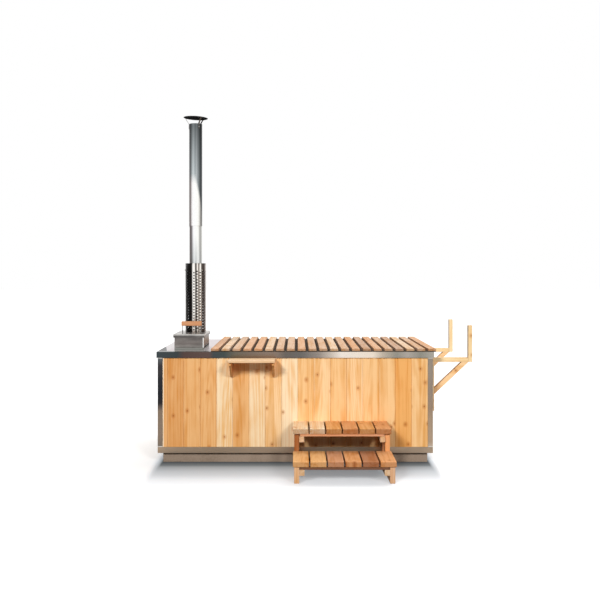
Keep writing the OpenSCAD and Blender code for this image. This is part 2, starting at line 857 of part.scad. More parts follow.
module step_planks() color("indianred") {
    tread(upper_y0, upper_y1, upper_tread_h);
    tread(lower_y0, lower_y1, lower_tread_h);
}

// Places its children at the left side, and mirrored at the right side, of the steps
module step_sides() {
    for (s = [0, 1])
        translate([steps_mid_x, 0, 0]) mirror([s, 0, 0]) translate([-steps_mid_x, 0, 0])
            children();
}

module step_legs() color("peru") {
    step_sides() {
        box([leg_x0, lower_y0 + step_setback, 0],
            [leg_x0 + step_leg_t, lower_y0 + step_setback + lower_leg_w, lower_tread_h - plank_t]);
        box([leg_x0, lower_y1 + joint_gap, 0],
            [leg_x0 + step_leg_t, lower_y1 + joint_gap + upper_leg_w, upper_tread_h - plank_t]);
        box([leg_x0, upper_y1 - step_setback - upper_leg_w, 0],
            [leg_x0 + step_leg_t, upper_y1 - step_setback, upper_tread_h - plank_t]);
    }
}

// The cross rails and side bearers under one tread
module tread_frame(y0, y1, under, bearer_y1) {
    z1 = under - step_rail_h;
    for (y = [y0 + step_setback, y1 - step_setback - step_rail_w])
        box([leg_x0 + step_leg_t + notch, y, z1], [leg_x1 - step_leg_t - notch, y + step_rail_w, under]);
    step_sides() box([leg_x0 + step_leg_t, y0 + step_setback, z1 - joint_gap - bearer_h],
                     [leg_x0 + 2 * step_leg_t, bearer_y1, z1 - joint_gap]);
}

module step_bearers() color("sienna") {
    tread_frame(upper_y0, upper_y1, upper_tread_h - plank_t, upper_y1 - step_setback);
    tread_frame(lower_y0, lower_y1 - tread_lap, lower_tread_h - plank_t, upper_y1 - step_setback);
}

module screws() color("slategray") {
    // Through the holder's legs into the wall, and through its uprights into the arms
    at_holders() {
        for (z = leg_screws)
            translate([holder_x1, bar_w / 2, arm_z - holder_leg_h + z]) rotate([0, 90, 0])
                cylinder(r = screw_head_r, h = screw_head_h);
        translate([upright_x + upright_t, bar_w / 2, arm_z + bar_t / 2]) rotate([0, 90, 0])
            cylinder(r = screw_head_r, h = screw_head_h);
    }
    // Through the feet of the cap's straps
    translate([flue_x, flue_y, pipe_top - strap_foot / 2 - bead_h])
        for (a = strap_angles) rotate([0, 90, a])
            translate([0, 0, upper_r + turn_gap + strap_t])
                cylinder(r = small_head_r, h = small_head_h);
}

// One slat of the cover with its strip of the mat, counted from the stove end
module cover_slat(i) color("tan") {
    mid = cover_x1 - slat_w / 2 - (slat_n - i) * slat_pitch;
    half = slat_pitch / 2 - strip_gap / 2;
    left = i > 1 ? half : slat_w / 2;
    right = i < slat_n ? half : slat_w / 2;
    cut = mat_t * tan(fold_deg / 2);
    cut_l = i > 1 ? cut : 0;
    cut_r = i < slat_n ? cut : 0;
    e = slat_ease;
    translate([mid, cover_y, tub_h]) rotate([90, 0, 0]) linear_extrude(2 * cover_y) {
        polygon([[-left, 0], [right, 0], [right - cut_r, mat_t - strip_gap],
                 [-left + cut_l, mat_t - strip_gap]]);
        polygon([[-slat_w / 2, mat_t], [slat_w / 2, mat_t], [slat_w / 2, mat_t + slat_t - e],
                 [slat_w / 2 - e, mat_t + slat_t], [-slat_w / 2 + e, mat_t + slat_t],
                 [-slat_w / 2, mat_t + slat_t - e]]);
    }
}

plinth();
base_rail();
corner_posts();
cladding_front();
cladding_back();
cladding_ends();
insulation();
tank();
top_rim();
stove_deck();
firebox();
stove_neck();
fire_grate();
stove_lid();
lid_grip();
grip_strips();
flue_collar();
chimney_lower();
chimney_upper();
heat_guard();
guard_spacers();
rain_cap();
cap_straps();
stove_fence();
bench_seats();
bench_frames();
drain_fitting();
valve_ball();
valve_lever();
shelf_board();
shelf_brackets();
holder_legs();
holder_arms();
holder_uprights();
holder_braces();
step_planks();
step_legs();
step_bearers();
screws();
for (i = [1 : slat_n])
    cover_slat(i);
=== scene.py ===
"""Look of a wood-burning hot tub.

Cedar boards on a metal frame, a stove with its chimney, a rolling cover of slats with the
brackets that hold it, a small shelf and a pair of steps. The solids come in as a fixed frame.
Each class takes its places from that frame, builds finer pieces over the solids and gives
every surface its finish. All sizes are in metres.
"""

import logging
import math
import random
from collections.abc import Iterable, Sequence
from dataclasses import dataclass
from enum import Enum
from functools import lru_cache

import bmesh
import bpy
from mathutils import Matrix, Vector


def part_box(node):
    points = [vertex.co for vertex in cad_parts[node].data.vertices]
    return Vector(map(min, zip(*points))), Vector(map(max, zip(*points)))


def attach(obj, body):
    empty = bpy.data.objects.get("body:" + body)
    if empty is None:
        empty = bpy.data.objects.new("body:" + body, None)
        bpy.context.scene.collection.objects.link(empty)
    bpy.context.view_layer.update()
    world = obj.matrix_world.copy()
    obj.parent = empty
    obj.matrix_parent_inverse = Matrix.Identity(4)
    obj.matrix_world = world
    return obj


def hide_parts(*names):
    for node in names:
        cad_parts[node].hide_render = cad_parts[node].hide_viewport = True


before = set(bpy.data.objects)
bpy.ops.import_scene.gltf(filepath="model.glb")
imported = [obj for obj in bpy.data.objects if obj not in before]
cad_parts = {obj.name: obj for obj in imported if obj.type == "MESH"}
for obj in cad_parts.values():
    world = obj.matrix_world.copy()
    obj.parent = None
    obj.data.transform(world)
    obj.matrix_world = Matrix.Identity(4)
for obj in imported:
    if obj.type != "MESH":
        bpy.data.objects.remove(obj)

log = logging.getLogger("hot_tub")

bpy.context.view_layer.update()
# Corners nearer than this are one, and edges flatter than this are none
WELD = 1e-5
FLAT = math.radians(0.5)
# Edges sharper than this are eased, or stay sharp
SHARP = math.radians(32)
# Share of pale early wood, and what late wood, knots' halos and the painted shade on cut ends and
# narrow sides keep of the tone
EARLY_SHARE = 0.7
LATE_FALL = (0.87, 0.71, 0.46, 1.0)
HEART_FALL = (0.66, 0.42, 0.24, 1.0)
END_AND_SHADE_FALL = (0.40, 0.31, 0.27, 1.0)
KNOT = (138, 80, 42)
WHITE = (1, 1, 1, 1)

Screen = tuple[int, int, int]
Stop = tuple[float, int, int, int]
Colour = tuple[float, float, float, float]
Socket = bpy.types.NodeSocket
Feed = float | tuple | Socket
Feeds = dict[int | str, Feed]
Point = tuple[float, float, float]


class Axis(Enum):
    """Direction in the shared frame."""

    X = 0
    Y = 1
    Z = 2


class Wood(Enum):
    """Tones of the oiled boards as they look on a screen."""

    CREAM = (255, 217, 172)
    STRAW = (249, 203, 148)
    HONEY = (244, 193, 132)
    AMBER = (235, 176, 113)
    TAWNY = (229, 168, 106)
    ORANGE = (238, 171, 97)
    PALE = (239, 200, 157)
    RUSSET = (226, 160, 104)
    TAN = (208, 148, 106)
    BROWN = (180, 120, 82)
    PINE = (255, 219, 168)
    PEACH = (255, 220, 180)
    OAT = (228, 182, 140)
    # Painted shade for the leg under the upper tread
    UMBER = (158, 98, 56)
    SLAT = (213, 174, 140)
    SLAT_WARM = (216, 167, 126)
    SLAT_DARK = (194, 155, 124)
    SLAT_PALE = (227, 193, 158)
    ASPEN = (226, 190, 146)
    # Painted shade for the rail under the lower tread
    DUSK = (114, 77, 55)


# ---- Shader graphs


def linear(tone: Sequence[float]) -> Colour:
    """Turns a tone from a screen, with parts up to 255, into a shader's linear colour."""
    parts = [part / 255 for part in tone]
    return (*(p / 12.92 if p <= 0.04045 else ((p + 0.055) / 1.055) ** 2.4 for p in parts), 1.0)


def feed(node: bpy.types.Node, feeds: Feeds) -> None:
    """Links inputs of a node, or sets them to plain values.

    Args:
        node: The node.
        feeds: What each input takes.
    """
    for key, value in feeds.items():
        if isinstance(value, bpy.types.NodeSocket):
            node.id_data.links.new(value, node.inputs[key])
        else:
            node.inputs[key].default_value = value


def add_node(
    tree: bpy.types.NodeTree, kind: str, feeds: Feeds | None = None, **settings: str
) -> bpy.types.Node:
    """Adds a node to a shader graph.

    Args:
        tree: The graph.
        kind: Blender's name of the node, after its "ShaderNode".
        feeds: What its inputs take.
        **settings: Its own settings.

    Returns:
        The node.
    """
    node = tree.nodes.new(f"ShaderNode{kind}")
    for name, value in settings.items():
        setattr(node, name, value)
    feed(node, feeds or {})
    return node


class Recipe:
    """Shader graph of one finish, built up node by node."""

    def __init__(self, name: str) -> None:
        """Starts a graph with one plain surface.

        Args:
            name: Name of the material.
        """
        self.material = bpy.data.materials.new(name)
        self.material.use_nodes = True
        self.tree = self.material.node_tree
        self.tree.nodes.clear()
        self.surface = add_node(self.tree, "BsdfPrincipled")
        add_node(self.tree, "OutputMaterial", {"Surface": self.surface.outputs["BSDF"]})
        coordinates = add_node(self.tree, "TexCoord")
        self.place = coordinates.outputs["Object"]
        self.facing = coordinates.outputs["Normal"]

    def add(self, kind: str, feeds: Feeds, output: int | str = 0, **settings: str) -> Socket:
        """Adds a node and gives one of its outputs."""
        return add_node(self.tree, kind, feeds, **settings).outputs[output]

    def plain(self, **values: Feed) -> None:
        """Sets inputs of the surface, with _ for each space in a name."""
        feed(self.surface, {name.replace("_", " "): value for name, value in values.items()})

    def math(self, kind: str, first: Feed, second: Feed = 0.0) -> Socket:
        """Adds a sum of two numbers, by Blender's name of the operation."""
        return self.add("Math", {0: first, 1: second}, operation=kind)

    def vector(self, kind: str, first: Feed, second: Feed) -> Socket:
        """Adds a sum of two vectors, by Blender's name of the operation."""
        return self.add("VectorMath", {0: first, 1: second}, operation=kind)

    def drawn(self, at: Socket, along: Axis, run: float, across: float) -> Socket:
        """Scales coordinates, with one scale along an axis and another across it."""
        return self.vector("MULTIPLY", at, tuple(run if a is along else across for a in Axis))

    def shaded(self, colour: Feed, shade: Socket) -> Socket:
        """Multiplies a colour by a number."""
        plain = colour[:3] if isinstance(colour, tuple) else colour
        return self.add("VectorMath", {0: plain, 3: shade}, operation="SCALE")

    def part(self, vector: Socket, axis: Axis) -> Socket:
        """Takes one part of a vector."""
        return self.add("SeparateXYZ", {0: vector}, axis.value)

    def attribute(self, name: str) -> Socket:
        """Reads a vector that the mesh carries, or zero where it has none."""
        return self.add("Attribute", {}, "Vector", attribute_name=name)

    def noise(self, at: Socket, scale: float, detail: float = 2.0, rough: float = 0.5) -> Socket:
        """Adds noise round 0.5, with so many features to a metre and so much finer noise."""
        feeds = {"Vector": at, "Scale": scale, "Detail": detail, "Roughness": rough}
        return self.add("TexNoise", feeds)

    def cells(self, first: Socket, second: Socket, scale: float) -> tuple[Socket, Socket]:
        """Adds a scatter of points on a plane.

        Args:
            first: Place along the plane.
            second: Place across it.
            scale: Points to a metre.

        Returns:
            The distance to the nearest point and a random number for it.
        """
        feeds = {"Vector": self.add("CombineXYZ", {0: first, 1: second}), "Scale": scale}
        node = add_node(self.tree, "TexVoronoi", feeds, voronoi_dimensions="2D")
        return node.outputs["Distance"], self.part(node.outputs["Color"], Axis.X)

    def spread(
        self, value: Socket, low: float, high: float, to: Sequence[float] = (0, 1)
    ) -> Socket:
        """Maps a number from one range to another, held at both ends."""
        return self.add("MapRange", dict(enumerate((value, low, high, *to))))

    def mix(self, first: Feed, second: Feed, share: Feed, kind: str = "MIX") -> Socket:
        """Mixes two colours by the share of the second one."""
        feeds = {0: share, 6: first, 7: second}
        return self.add("Mix", feeds, 2, data_type="RGBA", blend_type=kind)

    def bands(self, value: Socket, stops: Sequence[Stop]) -> Socket:
        """Colours a number from 0 to 1 by bands that run into one another.

        Args:
            value: The number.
            stops: Places and tones of the bands.

        Returns:
            The colour.
        """
        node = add_node(self.tree, "ValToRGB", {0: value})
        ramp = node.color_ramp
        while len(ramp.elements) < len(stops):
            ramp.elements.new(1.0)
        for element, (place, *tone) in zip(ramp.elements, stops):
            element.position = place
            element.color = linear(tone)
        return node.outputs[0]

    def bump(self, height: Socket, depth: float, strength: float) -> None:
        """Raises the surface by a pattern so many metres deep."""
        feeds = {"Strength": strength, "Distance": depth, "Height": height}
        feed(self.surface, {"Normal": self.add("Bump", feeds)})

    def coat(
        self,
        colour: Socket,
        metallic: float,
        pattern: Socket,
        rough: Sequence[float],
        relief: Sequence[float],
    ) -> bpy.types.Material:
        """Gives the surface its colour, and gloss and relief that follow one pattern.

        Args:
            colour: The colour.
            metallic: Share of bare metal.
            pattern: The pattern.
            rough: Least and greatest roughness.
            relief: Depth of the pattern in metres and the share of it that shows.

        Returns:
            The material.
        """
        gloss = self.spread(pattern, 0.2, 0.8, rough)
        self.plain(Base_Color=colour, Metallic=metallic, Roughness=gloss)
        self.bump(pattern, *relief)
        return self.material


# ---- Finishes


@dataclass(frozen=True)
class Timber:
    """Finish of planed and oiled boards.

    Attributes:
        wood: Tone of the board.
        grain: Direction in which the grain runs.
        face: Direction that the board's wide side faces.
        contrast: Strength of the streaks and growth rings.
        knots: Share of the places that hold a knot.
        ends: How much darker the cut ends are, partly oiled end grain and partly painted shade.
        edges: How much darker the narrow sides are, a painted shade.
    """

    wood: Wood
    grain: Axis
    face: Axis
    contrast: float = 1.0
    knots: float = 0.3
    ends: float = 0.35
    edges: float = 0.0

    @lru_cache(maxsize=None)
    def material(self) -> bpy.types.Material:
        """Builds the material once and keeps it."""
        name = f"timber_{self.wood.name}_{self.grain.name}{self.face.name}_{self.knots:.1f}"
        recipe = Recipe(name.lower())
        at = recipe.vector("ADD", recipe.place, recipe.attribute("grain_shift"))

        def pattern(run: float, across: float, *detail: float) -> Socket:
            """Noise drawn out along the grain."""
            return recipe.noise(recipe.drawn(at, self.grain, run, across), 1.0, *detail)

        figure = pattern(0.35, 6.0, 1.5)
        rings = recipe.math("SINE", recipe.math("MULTIPLY", figure, 150.0))
        streaks = pattern(0.8, 62.0, 3.0, 0.65)
        broad = pattern(0.6, 15.0)
        patches = pattern(4.5, 12.0, 2.5)
        fibres = pattern(11.0, 620.0, 2.0, 0.6)
        share: Feed = EARLY_SHARE
        for texture, middle, weight in (
            (streaks, 0.5, 2.2), (broad, 0.5, 1.5), (patches, 0.5, 1.2), (rings, 0.0, 0.16),
            (fibres, 0.5, 0.5),
        ):
            swing = recipe.math("SUBTRACT", texture, middle)
            swing = recipe.math("MULTIPLY", swing, weight * self.contrast)
            share = recipe.math("ADD", swing, share)
        share = recipe.spread(share, 0.0, 1.0)
        wood = linear(self.wood.value)
        late = tuple(part * fall for part, fall in zip(wood, LATE_FALL))
        early = tuple(
            min((part - (1 - EARLY_SHARE) * dark) / EARLY_SHARE, 1.0)
            for part, dark in zip(wood, late)
        )
        colour = recipe.mix(late, early, share)
        # A knot is a round core, paler in some than in others, with a warm halo
        across = next(axis for axis in Axis if axis not in (self.grain, self.face))
        near, chance = recipe.cells(
            recipe.math("MULTIPLY", recipe.part(at, self.grain), 0.8), recipe.part(at, across), 9.0
        )
        near = recipe.math("ADD", near, recipe.math("MULTIPLY", streaks, 0.03))
        near = recipe.math("SUBTRACT", near, recipe.math("MULTIPLY", chance, 0.05))
        chosen = recipe.math("LESS_THAN", chance, self.knots)
        halo = recipe.math("MULTIPLY", recipe.spread(near, 0.05, 0.19, (0.7, 0)), chosen)
        core = recipe.math("MULTIPLY", recipe.spread(near, 0.03, 0.06, (0.9, 0)), chosen)
        firm = recipe.spread(chance, 0.0, self.knots, (1.0, 0.15))
        core = recipe.math("MULTIPLY", core, firm)
        heart = tuple(part * fall for part, fall in zip(wood, HEART_FALL))
        colour = recipe.mix(colour, heart, halo)
        colour = recipe.mix(colour, linear(KNOT), core)
        # Cut ends are darker, partly from the oil they drink and partly as painted shade, and
        # narrow sides are darker as painted shade
        for axis, depth in ((self.grain, self.ends), (across, self.edges)):
            turned_to = recipe.math("ABSOLUTE", recipe.part(recipe.facing, axis))
            turned_to = recipe.spread(turned_to, 0.55, 0.85, (0.0, depth))
            colour = recipe.mix(colour, END_AND_SHADE_FALL, turned_to, "MULTIPLY")
        recipe.plain(
            Base_Color=colour,
            Roughness=recipe.spread(streaks, 0.3, 0.7, (0.50, 0.66)),
            Specular_IOR_Level=0.3,
        )
        height = recipe.math("ADD", fibres, recipe.math("MULTIPLY", rings, 0.2))
        recipe.bump(height, 0.0005, 0.35)
        return recipe.material


@dataclass(frozen=True)
class Mirrored:
    """Painted reflections: tones painted on sheet metal for what stands round it.

    Attributes:
        along: Axis along which they follow one another.
        start: Where they start on that axis.
        end: Where they end.
        tones: Places from 0 to 1 and the tone at each.
        lean: How far they shift along that axis for each metre towards +X.
    """

    along: Axis
    start: float
    end: float
    tones: tuple[Stop, ...]
    lean: float = 0.0


@dataclass(frozen=True)
class SheetSteel:
    """Finish of flat stainless sheet.

    Attributes:
        name: Name of the finish.
        tone: Tone of the plain sheet.
        brushed: Direction of the brush lines.
        rough: Roughness of the sheet.
        clouds: Strength of the cloudy marks.
        mirrored: Painted reflections, where they show.
        cloud_scale: Cloudy marks to a metre.
    """

    name: str
    tone: Screen
    brushed: Axis
    rough: float = 0.34
    clouds: float = 0.25
    mirrored: Mirrored | None = None
    cloud_scale: float = 6.0

    @lru_cache(maxsize=None)
    def material(self) -> bpy.types.Material:
        """Builds the material once and keeps it."""
        recipe = Recipe(self.name)
        colour: Feed = linear(self.tone)
        if self.mirrored:
            place = recipe.part(recipe.place, self.mirrored.along)
            shift = recipe.part(recipe.place, Axis.X)
            place = recipe.math("ADD", place, recipe.math("MULTIPLY", shift, self.mirrored.lean))
            place = recipe.spread(place, self.mirrored.start, self.mirrored.end)
            colour = recipe.bands(place, self.mirrored.tones)
        across = self.cloud_scale
        clouds_at = recipe.drawn(recipe.place, self.brushed, across / 3, across)
        clouds = recipe.noise(clouds_at, 1.0, 3.0, 0.6)
        lines = recipe.noise(recipe.drawn(recipe.place, self.brushed, 5.0, 700.0), 1.0)
        shade = recipe.spread(clouds, 0.3, 0.7, (1 - self.clouds, 1 + self.clouds))
        shade = recipe.math("MULTIPLY", shade, recipe.spread(lines, 0.2, 0.8, (0.93, 1.07)))
        rough = (self.rough - 0.05, self.rough + 0.07)
        return recipe.coat(recipe.shaded(colour, shade), 1.0, lines, rough, (0.0001, 0.15))


@dataclass(frozen=True)
class TurnedSteel:
    """Finish of a bright pipe, with painted upright reflections that run round it.

    Attributes:
        name: Name of the finish.
        centre: Place of the pipe's axis, seen from above.
        low_tones: Tones round the pipe at its foot, from its left side over its front.
        high_tones: The same near its top.
        levels: Heights between which the one runs into the other.
        rough: Roughness of the metal.
        slant: Height by which that change falls from the front to the right side.
        fade: Heights between which the upper tones darken, and what is left of them.
    """

    name: str
    centre: tuple[float, float]
    low_tones: tuple[Stop, ...]
    high_tones: tuple[Stop, ...]
    levels: tuple[float, float]
    rough: float = 0.22
    slant: float = 0.0
    fade: Point = (0.0, 1.0, 1.0)

    @lru_cache(maxsize=None)
    def material(self) -> bpy.types.Material:
        """Builds the material once and keeps it."""
        recipe = Recipe(self.name)
        x = recipe.math("SUBTRACT", recipe.part(recipe.place, Axis.X), self.centre[0])
        y = recipe.math("SUBTRACT", recipe.part(recipe.place, Axis.Y), self.centre[1])
        turn = recipe.math("ABSOLUTE", recipe.math("ARCTAN2", y, x))
        around = recipe.math("SUBTRACT", 1.0, recipe.math("DIVIDE", turn, math.pi))
        height = recipe.part(recipe.place, Axis.Z)
        # Small dents and waves in the thin sheet bend the painted reflections
        waves = recipe.noise(recipe.drawn(recipe.place, Axis.Z, 3.0, 9.0), 1.0)
        bent = recipe.math("MULTIPLY", recipe.math("SUBTRACT", waves, 0.5), 0.05)
        around = recipe.math("ADD", around, bent)
        low = recipe.bands(around, self.low_tones)
        high = recipe.bands(around, self.high_tones)
        below, above, left = self.fade
        high = recipe.shaded(high, recipe.spread(height, below, above, (1.0, left)))
        side = recipe.math("MAXIMUM", recipe.math("SUBTRACT", around, 0.52), 0.0)
        height = recipe.math("ADD", height, recipe.math("MULTIPLY", side, self.slant))
        colour = recipe.mix(low, high, recipe.spread(height, *self.levels))
        lines = recipe.noise(recipe.drawn(recipe.place, Axis.Z, 6.0, 400.0), 1.0)
        colour = recipe.shaded(colour, recipe.spread(lines, 0.2, 0.8, (0.95, 1.05)))
        rough = (self.rough - 0.04, self.rough + 0.05)
        return recipe.coat(colour, 1.0, lines, rough, (0.0001, 0.1))


@dataclass(frozen=True)
class Coating:
    """Finish of an uneven surface, such as paint, foam, felt, cast iron or painted shade.

    Attributes:
        name: Name of the finish.
        tone: Main tone.
        second: Tone of the patches in it.
        grain: Speckles to a metre.
        rough: Roughness.
        depth: Height of the speckles.
        metallic: Share of bare metal.
    """

    name: str
    tone: Screen
    second: Screen
    grain: float = 300.0
    rough: float = 0.6
    depth: float = 0.0004
    metallic: float = 0.0

    @lru_cache(maxsize=None)
    def material(self) -> bpy.types.Material:
        """Builds the material once and keeps it."""
        recipe = Recipe(self.name)
        speckles = recipe.noise(recipe.place, self.grain, 3.0, 0.6)
        patches = recipe.noise(recipe.place, self.grain / 22, 2.0)
        share = recipe.math("MULTIPLY", speckles, recipe.spread(patches, 0.3, 0.7, (0.4, 1.6)))
        colour = recipe.mix(linear(self.tone), linear(self.second), recipe.spread(share, 0.2, 0.9))
        rough = (self.rough - 0.08, self.rough + 0.1)
        return recipe.coat(colour, self.metallic, speckles, rough, (self.depth, 0.6))


@dataclass(frozen=True)
class ShadedUnderside:
    """Finish of the rain cap: grey sheet on top, and a near black, dull painted shade below and at
    the edge.

    Attributes:
        name: Name of the finish.
        tone: Tone of the upper side.
        underside_shade: Tone of the painted shade.
    """

    name: str
    tone: Screen
    underside_shade: Screen

    @lru_cache(maxsize=None)
    def material(self) -> bpy.types.Material:
        """Builds the material once and keeps it."""
        recipe = Recipe(self.name)
        clouds = recipe.noise(recipe.place, 14.0, 3.0, 0.6)
        # Faces turned downwards get the painted shade
        under = recipe.spread(recipe.part(recipe.facing, Axis.Z), 0.2, 0.7, (1.0, 0.0))
        metal = recipe.mix(linear(self.tone), linear((70, 70, 68)), recipe.spread(clouds, 0.4, 0.8))
        recipe.plain(
            Base_Color=recipe.mix(metal, linear(self.underside_shade), under),
            Metallic=recipe.spread(under, 0.0, 1.0, (1.0, 0.0)),
            Roughness=recipe.spread(under, 0.0, 1.0, (0.32, 0.9)),
            Specular_IOR_Level=0.05,
        )
        recipe.bump(recipe.noise(recipe.place, 260.0), 0.0003, 0.4)
        return recipe.material


Finish = Timber | SheetSteel | TurnedSteel | Coating | ShadedUnderside


# ---- Meshes


@dataclass
class Solid:
    """One closed body.

    Attributes:
        points: Its corners.
        faces: Corners of each face, by index.
    """

    points: list[Vector]
    faces: list[tuple[int, ...]]

    def low(self, axis: Axis) -> float:
        """Lowest place along an axis."""
        return min(point[axis.value] for point in self.points)

    def high(self, axis: Axis) -> float:
        """Highest place along an axis."""
        return max(point[axis.value] for point in self.points)

    def middle(self, axis: Axis) -> float:
        """Place halfway between the lowest and the highest."""
        return (self.low(axis) + self.high(axis)) / 2

    def span(self, axis: Axis) -> float:
        """Length along an axis."""
        return self.high(axis) - self.low(axis)


def middle_of(node: str) -> tuple[float, float]:
    """Middle of a CAD node seen from above."""
    low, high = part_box(node)
    return (low.x + high.x) / 2, (low.y + high.y) / 2


def solids_of(node: str) -> list[Solid]:
    """Takes a CAD node apart into its closed bodies, with whole flat faces.

    Args:
        node: Name of the node.

    Returns:
        The bodies, from left to right and then from front to rear.
    """
    mesh = bmesh.new()
    mesh.from_mesh(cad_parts[node].data)
    bmesh.ops.remove_doubles(mesh, verts=mesh.verts, dist=WELD)
    bmesh.ops.dissolve_limit(mesh, angle_limit=FLAT, verts=mesh.verts, edges=mesh.edges)
    mesh.verts.index_update()
    left = set(mesh.verts)
    found = []
    while left:
        group, edge_of_group = [], [left.pop()]
        while edge_of_group:
            vertex = edge_of_group.pop()
            group.append(vertex)
            for edge in vertex.link_edges:
                other = edge.other_vert(vertex)
                if other in left:
                    left.remove(other)
                    edge_of_group.append(other)
        group.sort(key=lambda vertex: vertex.index)
        place = {vertex: number for number, vertex in enumerate(group)}
        faces = sorted(
            {face for vertex in group for face in vertex.link_faces}, key=lambda face: face.index
        )
        found.append(
            Solid(
                [vertex.co.copy() for vertex in group],
                [tuple(place[vertex] for vertex in face.verts) for face in faces],
            )
        )
    mesh.free()
    found.sort(key=lambda s: tuple(round(s.middle(axis), 4) for axis in Axis))
    return found


def bar(low: Point, high: Point) -> Solid:
    """A straight bar of sheet, strip or weld, whose edges are eased when it is joined in.

    Args:
        low: Its lowest corner.
        high: Its highest corner.

    Returns:
        The bar.
    """
    points = [Vector((x, y, z)) for z in (low[2], high[2]) for y in (low[1], high[1])
              for x in (low[0], high[0])]
    faces = [(0, 2, 3, 1), (4, 5, 7, 6), (0, 1, 5, 4), (2, 6, 7, 3), (0, 4, 6, 2), (1, 3, 7, 5)]
    return Solid(points, faces)


def turned(
    profile: Sequence[tuple[float, float]],
    centre: Point,
    steps: int = 96,
    tilt: Matrix | None = None,
) -> Solid:
    """Turns a closed outline round an upright axis.

    Args:
        profile: Radius and height of each corner, anticlockwise.
        centre: Where the axis stands, and the level that heights are measured from.
        steps: Number of facets round the axis.
        tilt: Turn of the whole body about the centre.

    Returns:
        The turned body.
    """
    points, rings = [], []
    for radius, height in profile:
        count = 1 if radius < WELD else steps
        ring = []
        for step in range(count):
            angle = 2 * math.pi * step / steps
            point = Vector((radius * math.cos(angle), radius * math.sin(angle), height))
            ring.append(len(points))
            points.append((tilt @ point if tilt else point) + Vector(centre))
        rings.append(ring * steps if count == 1 else ring)
    faces = []
    for one, two in zip(rings, rings[1:] + rings[:1]):
        for step in range(steps):
            after = (step + 1) % steps
            corners = (one[step], one[after], two[after], two[step])
            face = tuple(dict.fromkeys(corners))
            if len(face) > 2:
                faces.append(face)
    return Solid(points, faces)


def rolled_edge(radius: float, level: float, bead: float) -> list[tuple[float, float]]:
    """Outline of a wire edge, anticlockwise round its middle's radius and level."""
    turns = [math.radians(degrees) for degrees in range(0, 360, 36)]
    return [(radius + bead * math.cos(turn), level + bead * math.sin(turn)) for turn in turns]


def screw_head(place: Point, outward: Point, radius: float, height: float) -> Solid:
    """A domed screw head with a six-sided socket.

    Args:
        place: Middle of its underside.
        outward: Direction in which it stands out.
        radius: Radius of the head.
        height: Height of the head.

    Returns:
        The head.
    """
    steps, sixth = 24, math.pi / 3
    points = []
    # Share of the radius and of the height at each ring, the last two round the socket
    for share, level, six_sided in (
        (1.0, 0.0, False), (1.0, 0.35, False), (0.82, 0.8, False), (0.5, 1.0, False),
        (0.42, 1.0, True), (0.42, 0.35, True),
    ):
        for step in range(steps):
            angle = 2 * math.pi * step / steps
            reach = radius * share
            if six_sided:
                reach *= math.cos(sixth / 2) / math.cos(angle % sixth - sixth / 2)
            points.append(
                Vector((reach * math.cos(angle), reach * math.sin(angle), height * level))
            )
    rings = [range(start, start + steps) for start in range(0, len(points), steps)]
    faces = [tuple(reversed(rings[0])), tuple(rings[-1])]
    for one, two in zip(rings, rings[1:]):
        for step in range(steps):
            after = (step + 1) % steps
            faces.append((one[step], one[after], two[after], two[step]))
    turn = Vector(outward).to_track_quat("Z", "Y").to_matrix()
    return Solid([turn @ point + Vector(place) for point in points], faces)


def assemble(
    name: str,
    parts: Iterable[tuple[Solid, Finish]],
    ease: float,
    slot: str,
    *nodes: str,
    body: str = "root",
    rings: int = 2,
) -> bpy.types.Object:
    """Joins bodies into one piece, each with its own finish and its own stretch of grain.

    Args:
        name: Name of the piece.
        parts: The bodies and their finishes.
        ease: Width of the rounding along sharp edges, or 0 for none.
        slot: Not used.
        *nodes: CAD nodes that the piece stands for.
        body: Body that it moves with.
        rings: Number of facets across the rounding.

    Returns:
        The piece.
    """
    points, faces, looks, shifts = [], [], [], []
    materials: list[bpy.types.Material] = []
    dice = random.Random(name)
    for solid, finish in parts:
        material = finish.material()
        if material not in materials:
            materials.append(material)
        start = len(points)
        shift = [dice.uniform(-20, 20) for _ in range(3)]
        points.extend(solid.points)
        shifts.extend(shift * len(solid.points))
        faces.extend(tuple(start + corner for corner in face) for face in solid.faces)
        looks.extend([materials.index(material)] * len(solid.faces))
    mesh = bpy.data.meshes.new(name)
    mesh.from_pydata(points, [], faces)
    for material in materials:
        mesh.materials.append(material)
    outward = bmesh.new()
    outward.from_mesh(mesh)
    bmesh.ops.recalc_face_normals(outward, faces=outward.faces)
    outward.to_mesh(mesh)
    outward.free()
    mesh.polygons.foreach_set("material_index", looks)
    mesh.attributes.new("grain_shift", "FLOAT_VECTOR", "POINT").data.foreach_set("vector", shifts)
    mesh.shade_smooth()
    mesh.set_sharp_from_angle(angle=SHARP)
    mesh.update()
    piece = bpy.data.objects.new(name, mesh)
    bpy.context.scene.collection.objects.link(piece)
    if ease:
        bevel = piece.modifiers.new("eased_edges", "BEVEL")
        bevel.width = ease
        bevel.segments = rings
        bevel.limit_method = "ANGLE"
        bevel.angle_limit = SHARP
        bevel.harden_normals = True
    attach(piece, body)
    if nodes:
        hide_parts(*nodes)
    log.info("%s rides on %s and stands for %s", name, body, ", ".join(nodes) or "itself")
    return piece


def finish_node(node: str, finish: Finish) -> None:
    """Gives a CAD node, whose shape is right as it is, its finish.

    Args:
        node: Name of the node.
        finish: The finish.
    """
    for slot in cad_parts[node].material_slots:
        slot.material = finish.material()
    log.info("%s keeps its solid", node)


def refine(
    name: str, node: str, finish: Finish, slot: str, body: str = "root", ease: float = 0.0008
) -> None:
    """Builds a piece over a CAD node, with eased edges and one finish."""
    parts = [(solid, finish) for solid in solids_of(node)]
    assemble(name, parts, ease, slot, node, body=body)


# ---- Sub-assemblies


@dataclass(frozen=True)
class Lamp:
    """Far and soft lamp.

    Attributes:
        name: Its name.
        strength: Its strength.
        source: Direction that it comes from.
        width: How wide it looks, in degrees.
    """

    name: str
    strength: float
    source: Point
    width: float


